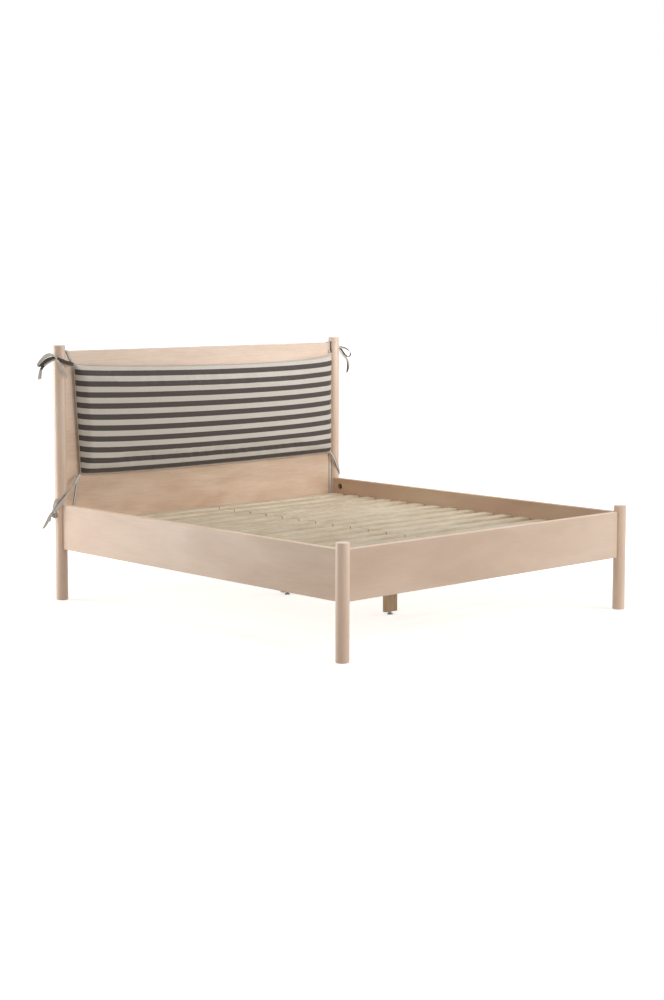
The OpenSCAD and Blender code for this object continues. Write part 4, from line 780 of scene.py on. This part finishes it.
def wood(name, grain, pale, middle, deep, streak=0.9, fleck=0.93, roughness=(0.40, 0.50),
         patch_mm=PATCH_MM, coat=0.0, board_mm=None, end_grain_and_gap_shade=0.85, top=1.0, vary=0.0):
    """Plain sawn or turned wood. grain is the axis that its fibres follow, board_mm
    the height of the boards that a panel is glued up from, end_grain_and_gap_shade how dark the
    cut ends are, which on the slats is also painted shade of their joints, top how much
    lighter (painted light) or darker (painted shade) the faces are that look up, and
    vary by how much one board is darker than the next."""
    material, tree = new_material(name)
    surface = add(tree, "ShaderNodeTexCoord")
    place = surface.outputs["Object"]

    def stretched(times):
        scale = [1 / times if axis == grain else 1 for axis in "xyz"]
        return add(tree, "ShaderNodeMapping", {"Vector": place, "Scale": scale}).outputs[0]

    patches = add(tree, "ShaderNodeTexNoise", {
        "Vector": stretched(PATCH_STRETCH), "Scale": per_metre(patch_mm), "Detail": 3,
        "Roughness": 0.5, "Distortion": 0.4}).outputs["Fac"]
    streaks = add(tree, "ShaderNodeTexNoise", {
        "Vector": stretched(GRAIN_STRETCH), "Scale": per_metre(STREAK_MM), "Detail": 5,
        "Roughness": 0.62, "Distortion": 0.25}).outputs["Fac"]
    flecks = add(tree, "ShaderNodeTexNoise", {
        "Vector": stretched(FLECK_STRETCH), "Scale": per_metre(FLECK_MM), "Detail": 2,
        "Roughness": 0.6}).outputs["Fac"]
    tones = add(tree, "ShaderNodeValToRGB", {"Fac": patches})
    ramp = tones.color_ramp
    ramp.elements[0].position, ramp.elements[0].color = DEEP_AT, linear(deep)
    ramp.elements[1].position, ramp.elements[1].color = PALE_AT, linear(pale)
    ramp.elements.new(MIDDLE_AT).color = linear(middle)
    colour = tones.outputs["Color"]

    facing = add(tree, "ShaderNodeSeparateXYZ", {0: surface.outputs["Normal"]}).outputs
    cut_end = add(tree, "ShaderNodeMath", {0: facing[grain.upper()]}, operation="ABSOLUTE")
    piece = add(tree, "ShaderNodeObjectInfo")
    darkening = [  # what it depends on, that value's range, the tone at each end of it
        (streaks, 0.32, 0.62, streak, 1.0),
        (flecks, 0.30, 0.46, fleck, 1.0),
        # cut ends: end grain, and on the slats also painted shade of the joint gaps
        (cut_end.outputs[0], 0.6, 0.9, 1.0, end_grain_and_gap_shade),
        # faces that look up: top above 1 lightens them as painted light, below 1 darkens them as
        # painted shade
        (facing["Z"], 0.3, 0.8, 1.0, top),
        (piece.outputs["Random"], 0.0, 1.0, 1 - vary, 1.0)]
    if board_mm:
        height = add(tree, "ShaderNodeSeparateXYZ", {0: place}).outputs["Z"]
        boards = add(tree, "ShaderNodeMath", {0: height, 1: board_mm / 1000},
                     operation="SNAP")
        board = add(tree, "ShaderNodeTexWhiteNoise", {"W": boards.outputs[0]},
                    noise_dimensions="1D")
        darkening.append((board.outputs["Value"], 0.0, 1.0, DARKEST_BOARD, 1.0))
        # painted light: the panel turns lighter from 0.6 m up to the pad's top edge
        painted_light = add(tree, "ShaderNodeMapRange", {
            "Value": height, "From Min": PAINTED_LIGHT_FROM, "From Max": PAD_TOP,
            "To Max": PAINTED_LIGHT_SHARE})
        colour = add(tree, "ShaderNodeMix", {
            MIX_SHARE: painted_light.outputs[0], MIX_A: colour, MIX_B: linear(PAINTED_LIGHT_TONE)},
            data_type="RGBA").outputs[MIX_OUT]
    shade = 1.0
    for value, start, end, tone_start, tone_end in darkening:
        tone = add(tree, "ShaderNodeMapRange", {
            "Value": value, "From Min": start, "From Max": end, "To Min": tone_start,
            "To Max": tone_end})
        shade = add(tree, "ShaderNodeMath", {0: shade, 1: tone.outputs[0]},
                    operation="MULTIPLY").outputs[0]

    shaded = add(tree, "ShaderNodeMix", {MIX_SHARE: 1.0, MIX_A: colour, MIX_B: shade},
                 data_type="RGBA", blend_type="MULTIPLY")
    gloss = add(tree, "ShaderNodeMapRange", {
        "Value": streaks, "From Min": 0.35, "From Max": 0.65, "To Min": roughness[1],
        "To Max": roughness[0]})
    relief = add(tree, "ShaderNodeBump", {"Height": shade, "Strength": WOOD_RELIEF,
                                          "Distance": WOOD_DEPTH})
    shader = add(tree, "ShaderNodeBsdfPrincipled", {
        "Base Color": shaded.outputs[MIX_OUT], "Roughness": gloss.outputs[0], "IOR": 1.5,
        "Normal": relief.outputs[0], "Coat Weight": coat, "Coat Roughness": 0.3})
    add(tree, "ShaderNodeOutputMaterial", {"Surface": shader.outputs[0]})
    return material

# %% [markdown]
# The beech pieces are lit and shaded copies of one finish, separate materials from
# the same function: the short posts are made the lightest, as painted light, and the
# tall posts and the right rail deeper, as painted shade. The posts were turned and
# lacquered thicker. The slats are planed pine, greenish beside the beech, and the
# pieces hidden below them rougher spruce.

# %% Wood finishes
# top=1.3: the left and foot rails' upward faces are made lighter, as painted light
BEECH = dict(pale="#ebd5c0", middle="#e2c9b3", deep="#d8bda6", streak=0.95, fleck=0.96,
             coat=0.25, top=1.3)
# the right rail's copy is deeper, as painted shade
SHADED_BEECH = {**BEECH, "pale": "#e5cbb2", "middle": "#dcbfa5", "deep": "#d2b398", "top": 1.0}
# top=1.1: the posts' upward faces are made lighter, as painted light
TURNED = dict(streak=0.94, fleck=0.95, coat=0.8, end_grain_and_gap_shade=1.0, top=1.1)
# the tall posts are painted deeper, as painted shade, and the short ones lighter, as painted light
shaded_head_beech = wood("turned_beech_tall_painted_shade", "z", pale="#e7d2be", middle="#dfc6b0", deep="#d6baa3",
                  **TURNED)
lit_foot_beech = wood("turned_beech_short_painted_light", "z", pale="#fae3ce", middle="#f3d8c1", deep="#e8ccb4",
                  **TURNED)
left_beech = wood("lacquered_beech_left", "y", **BEECH)
shaded_right_beech = wood("lacquered_beech_right_painted_shade", "y", **SHADED_BEECH)
cross_beech = wood("lacquered_beech_cross", "x", **BEECH)
beech_veneer = wood("beech_veneer", "x", pale="#ebd3bb", middle="#e2c7ae", deep="#d6b79c",
                    streak=0.9, patch_mm=90, coat=0.2, board_mm=124)
# slats: upward faces darker (top=0.8) and cut ends far darker, both painted shade; the ends also
# have real end grain
planed_pine = wood("planed_pine", "x", pale="#f2e6ce", middle="#e8dac0", deep="#dac9ad",
                   streak=0.86, roughness=(0.55, 0.66), patch_mm=70, end_grain_and_gap_shade=0.35, top=0.8,
                   vary=0.1)
planed_spruce = {axis: wood(f"planed_spruce_{axis}", axis, pale="#dcc3a2", middle="#cfb392",
                            deep="#b8997a", streak=0.84, roughness=(0.55, 0.68), patch_mm=60)
                 for axis in "xyz"}
print("wood finishes:", 7 + len(planed_spruce))

# %% [markdown]
# Screws, bolts and brackets are zinc-plated steel, a little cloudy from its plating
# bath, with a brushed-looking soft reflection. Its tones are set darker than bright
# zinc, as painted shade for the nuts deep in the rails' pockets and the glides under
# the bed. A metal gets its look from what it reflects, so painting it grey would look
# dead. It is fully metallic instead, and only its roughness and tone vary with the
# clouds.

# %% Zinc-plated steel
CLOUD_MM = 9
# darker than bright zinc, as painted shade for the nuts in their pockets and the glides under the
# bed
ZINC_DULL, ZINC_BRIGHT = "#77787a", "#a9aaac"
ZINC_ROUGHNESS = (0.28, 0.48)

zinc_steel, tree = new_material("zinc_plated_steel")
clouds = add(tree, "ShaderNodeTexNoise", {
    "Vector": add(tree, "ShaderNodeTexCoord").outputs["Object"],
    "Scale": per_metre(CLOUD_MM), "Detail": 4, "Roughness": 0.6}).outputs["Fac"]
zinc_tone = add(tree, "ShaderNodeValToRGB", {"Fac": clouds})
zinc_tone.color_ramp.elements[0].color = linear(ZINC_DULL)
zinc_tone.color_ramp.elements[1].color = linear(ZINC_BRIGHT)
zinc_gloss = add(tree, "ShaderNodeMapRange", {
    "Value": clouds, "To Min": ZINC_ROUGHNESS[0], "To Max": ZINC_ROUGHNESS[1]})
zinc_shader = add(tree, "ShaderNodeBsdfPrincipled", {
    "Base Color": zinc_tone.outputs["Color"], "Metallic": 1.0,
    "Roughness": zinc_gloss.outputs[0]})
add(tree, "ShaderNodeOutputMaterial", {"Surface": zinc_shader.outputs[0]})
print("zinc: clouds", CLOUD_MM, "mm apart")

# %% [markdown]
# Pad and tapes are plain-woven cotton in broad stripes of dark grey-brown and light
# grey-beige, dyed in the yarn, so the edges of the stripes are crisp to one thread.
# Stripes could be placed by height, but they would swim through every fold. So the
# "bands" that each point carries tell the stripe: a sine of them is positive on light
# bands and negative on dark ones. Yarn of 0.5 mm can't show at this size, so slubs of
# a few millimetres are drawn, longer along the weft. Cotton is matt with a faint
# fuzz, and sheen gives that.

# %% Striped cotton
SLUB_MM, THREAD_MM, BLOTCH_MM = 3.0, 1.4, 120
SLUB_STRETCH = 5
STRIPE_EDGE, RAGGED_EDGE = 0.05, 0.03
COTTON_RELIEF, COTTON_DEPTH = 0.35, 0.0006


def striped_cotton(name, light, dark, light_warm, dark_soft):
    material, tree = new_material(name)
    count = add(tree, "ShaderNodeAttribute", attribute_name="bands").outputs["Fac"]
    cloth = add(tree, "ShaderNodeUVMap", uv_map="cloth").outputs["UV"]
    weft = add(tree, "ShaderNodeMapping", {"Vector": cloth,
                                           "Scale": (1 / SLUB_STRETCH, 1, 1)})
    slubs = add(tree, "ShaderNodeTexNoise", {
        "Vector": weft.outputs[0], "Scale": per_metre(SLUB_MM), "Detail": 3,
        "Roughness": 0.7}).outputs["Fac"]
    threads = add(tree, "ShaderNodeTexNoise", {
        "Vector": cloth, "Scale": per_metre(THREAD_MM), "Detail": 1})
    blotches = add(tree, "ShaderNodeTexNoise", {
        "Vector": cloth, "Scale": per_metre(BLOTCH_MM), "Detail": 2})
    ragged = add(tree, "ShaderNodeMath", {0: slubs, 1: RAGGED_EDGE, 2: -RAGGED_EDGE / 2},
                 operation="MULTIPLY_ADD")
    counted = add(tree, "ShaderNodeMath", {0: count, 1: ragged.outputs[0]}, operation="ADD")
    half_turns = add(tree, "ShaderNodeMath", {0: counted.outputs[0], 1: math.pi},
                     operation="MULTIPLY")
    wave = add(tree, "ShaderNodeMath", {0: half_turns.outputs[0]}, operation="SINE")
    is_light = add(tree, "ShaderNodeMapRange", {
        "Value": wave.outputs[0], "From Min": -STRIPE_EDGE, "From Max": STRIPE_EDGE},
        interpolation_type="SMOOTHSTEP")
    light_tone = add(tree, "ShaderNodeMix", {
        MIX_SHARE: blotches.outputs["Fac"], MIX_A: linear(light), MIX_B: linear(light_warm)},
        data_type="RGBA")
    dark_tone = add(tree, "ShaderNodeMix", {
        MIX_SHARE: slubs, MIX_A: linear(dark), MIX_B: linear(dark_soft)}, data_type="RGBA")
    dyed = add(tree, "ShaderNodeMix", {
        MIX_SHARE: is_light.outputs[0], MIX_A: dark_tone.outputs[MIX_OUT],
        MIX_B: light_tone.outputs[MIX_OUT]}, data_type="RGBA")
    yarn = add(tree, "ShaderNodeMath", {0: slubs, 1: threads.outputs["Fac"]},
               operation="ADD").outputs[0]
    yarn_tone = add(tree, "ShaderNodeMapRange", {
        "Value": yarn, "From Min": 0.7, "From Max": 1.3, "To Min": 0.86, "To Max": 1.06})
    colour = add(tree, "ShaderNodeMix", {
        MIX_SHARE: 1.0, MIX_A: dyed.outputs[MIX_OUT], MIX_B: yarn_tone.outputs[0]},
        data_type="RGBA", blend_type="MULTIPLY")
    relief = add(tree, "ShaderNodeBump", {"Height": yarn, "Strength": COTTON_RELIEF,
                                          "Distance": COTTON_DEPTH})
    shader = add(tree, "ShaderNodeBsdfPrincipled", {
        "Base Color": colour.outputs[MIX_OUT], "Roughness": 0.92, "Sheen Weight": 0.12,
        "Sheen Roughness": 0.5, "Normal": relief.outputs[0]})
    add(tree, "ShaderNodeOutputMaterial", {"Surface": shader.outputs[0]})
    return material


cotton = striped_cotton("striped_woven_cotton", "#d8d4ce", "#48423f", "#cec9c1", "#57514d")
print("cotton: slubs", SLUB_MM, "mm, threads", THREAD_MM, "mm")

# %% [markdown]
# Each solid gets the finish of what it is made of. The grain follows the piece, so
# posts take the upright wood, side rails the one along the bed, and the foot rail
# the one across it. The names of the solids tell their finish, which is shorter than
# a list of all 51 and takes in each row of slats. What no name fits is metal.

# %% Dress every piece
def dress(piece, material):
    piece.data.materials.clear()
    piece.data.materials.append(material)


FINISHES = {
    "head_post_": shaded_head_beech, "foot_post_": lit_foot_beech,
    "side_rail_left": left_beech, "side_rail_right": shaded_right_beech, "foot_rail": cross_beech,
    "headboard_panel": beech_veneer, "slat_row_": planed_pine,
    "ledger_": planed_spruce["y"], "centre_beam": planed_spruce["y"],
    "centre_leg_": planed_spruce["z"], "rail_dowels": planed_spruce["y"],
    "panel_dowels": planed_spruce["x"],
}
for name, solid in nodes.items():
    found = [finish for start, finish in FINISHES.items() if name.startswith(start)]
    dress(solid, found[0] if found else zinc_steel)
for piece in [pad, welt, *tie_pieces]:
    dress(piece, cotton)
print("dressed", len(nodes) + len(tie_pieces) + 2, "pieces")

# %% [markdown]
# The photograph was lit softly from both sides. A window-like light from behind the
# headboard's left end brightens the left rail near the head and puts pale rims on the
# posts. Another from the right front lights the panel and the foot rail, and a weaker
# one comes from the front. Sun or point lamps would throw hard shadows, so they are
# large area lights. A wide one above fills the deck, and two small ones lift the left
# rail's end and the panel's right half. None of them shows in the picture.

# %% Lamps
LAMPS = {  # place, what it points at, width of its side, watts
    "left_window": ((-3.4, 4.6, 1.5), (-0.6, 0.5, 0.5), 2.4, 97),
    "left_lamp": ((-2.2, 1.6, 0.35), (-0.96, 0.8, 0.2), 0.8, 6),
    "right_window": ((3.1, -5.0, 2.6), (0.2, 0.4, 0.6), 3.0, 108),
    "front_window": ((0.0, -5.2, 2.6), (0.0, 0.4, 0.6), 3.0, 24),
    "panel_lamp": ((1.0, -0.3, 1.55), (0.6, 1.02, 0.9), 0.8, 8.5),
    "ceiling": ((0.0, 0.0, 4.6), (0.0, 0.0, 0.0), 4.5, 72),
}
for name, (place, target, side_width, watts) in LAMPS.items():
    lamp_data = bpy.data.lights.new(name, "AREA")
    lamp_data.size = side_width
    lamp_data.energy = watts
    lamp = bpy.data.objects.new(name, lamp_data)
    lamp.location = place
    lamp.rotation_mode = "QUATERNION"
    lamp.rotation_quaternion = (Vector(target) - Vector(place)).to_track_quat("-Z", "Y")
    lamp.visible_camera = False
    bpy.context.scene.collection.objects.link(lamp)
print("lamps:", ", ".join(LAMPS))

# %% [markdown]
# The picture's background is pure white, and a room that white would light the bed
# from all sides and take away its shading. So the surround is dim and a little warm
# for the light that it gives, and white only where it is seen. A Light Path node
# tells the camera's own rays, also by way of a mirror or through glass, from the
# rays that carry light.

# %% Surround
SURROUND, WARM, WHITE = 0.25, "#fff1e4", (1, 1, 1, 1)


def seen_directly(tree):
    """1 where the camera sees a surface itself, or its mirror image or through glass."""
    rays = add(tree, "ShaderNodeLightPath").outputs
    glossy = add(tree, "ShaderNodeMath", {0: rays["Is Camera Ray"], 1: rays["Is Glossy Ray"]},
                 operation="MAXIMUM")
    return add(tree, "ShaderNodeMath", {0: glossy.outputs[0], 1: rays["Is Transmission Ray"]},
               operation="MAXIMUM").outputs[0]


world = bpy.data.worlds.new("surround")
bpy.context.scene.world = world
world.use_nodes = True
tree = world.node_tree
tree.nodes.clear()
seen = seen_directly(tree)
strength = add(tree, "ShaderNodeMapRange", {"Value": seen, "To Min": SURROUND, "To Max": 1.0})
tint = add(tree, "ShaderNodeMix", {MIX_SHARE: seen, MIX_A: linear(WARM), MIX_B: WHITE},
           data_type="RGBA")
surround = add(tree, "ShaderNodeBackground", {
    "Color": tint.outputs[MIX_OUT], "Strength": strength.outputs[0]})
add(tree, "ShaderNodeOutputWorld", {"Surface": surround.outputs[0]})
print("surround:", SURROUND, "of its seen white")

# %% [markdown]
# The bed stands on a white ground that shows nothing but its soft shadow. A shadow
# catcher would need a second picture behind it, so the floor is a real sheet of matt
# paint. Where it is seen it also glows a little, more so away from the bed, and that
# lets it run into the white surround without an edge.

# %% Floor
FLOOR_HALF = 30
FLOOR_PAINT = "#efeeec"
GLOW_NEAR, GLOW_FAR = (1.4, 0.6), (2.6, 1.0)  # metres from the bed's middle, and the glow

corners = [(x * FLOOR_HALF, y * FLOOR_HALF, 0) for x, y in ((-1, -1), (1, -1), (1, 1), (-1, 1))]
floor = mesh_object("floor", corners, [(0, 1, 2, 3)], smooth=False)
floor_paint, tree = new_material("pale_floor")
from_bed = add(tree, "ShaderNodeVectorMath", {
    0: add(tree, "ShaderNodeTexCoord").outputs["Object"]}, operation="LENGTH")
glow = add(tree, "ShaderNodeMapRange", {
    "Value": from_bed.outputs["Value"], "From Min": GLOW_NEAR[0], "From Max": GLOW_FAR[0],
    "To Min": GLOW_NEAR[1], "To Max": GLOW_FAR[1]})
glow_seen = add(tree, "ShaderNodeMath", {0: seen_directly(tree), 1: glow.outputs[0]},
                operation="MULTIPLY")
floor_matt = add(tree, "ShaderNodeBsdfDiffuse", {"Color": linear(FLOOR_PAINT)})
floor_glow = add(tree, "ShaderNodeEmission", {"Color": WHITE,
                                              "Strength": glow_seen.outputs[0]})
floor_both = add(tree, "ShaderNodeAddShader", {0: floor_matt.outputs[0],
                                               1: floor_glow.outputs[0]})
add(tree, "ShaderNodeOutputMaterial", {"Surface": floor_both.outputs[0]})
dress(floor, floor_paint)
bpy.context.scene.view_settings.view_transform = "Standard"
print("floor:", 2 * FLOOR_HALF, "m square")
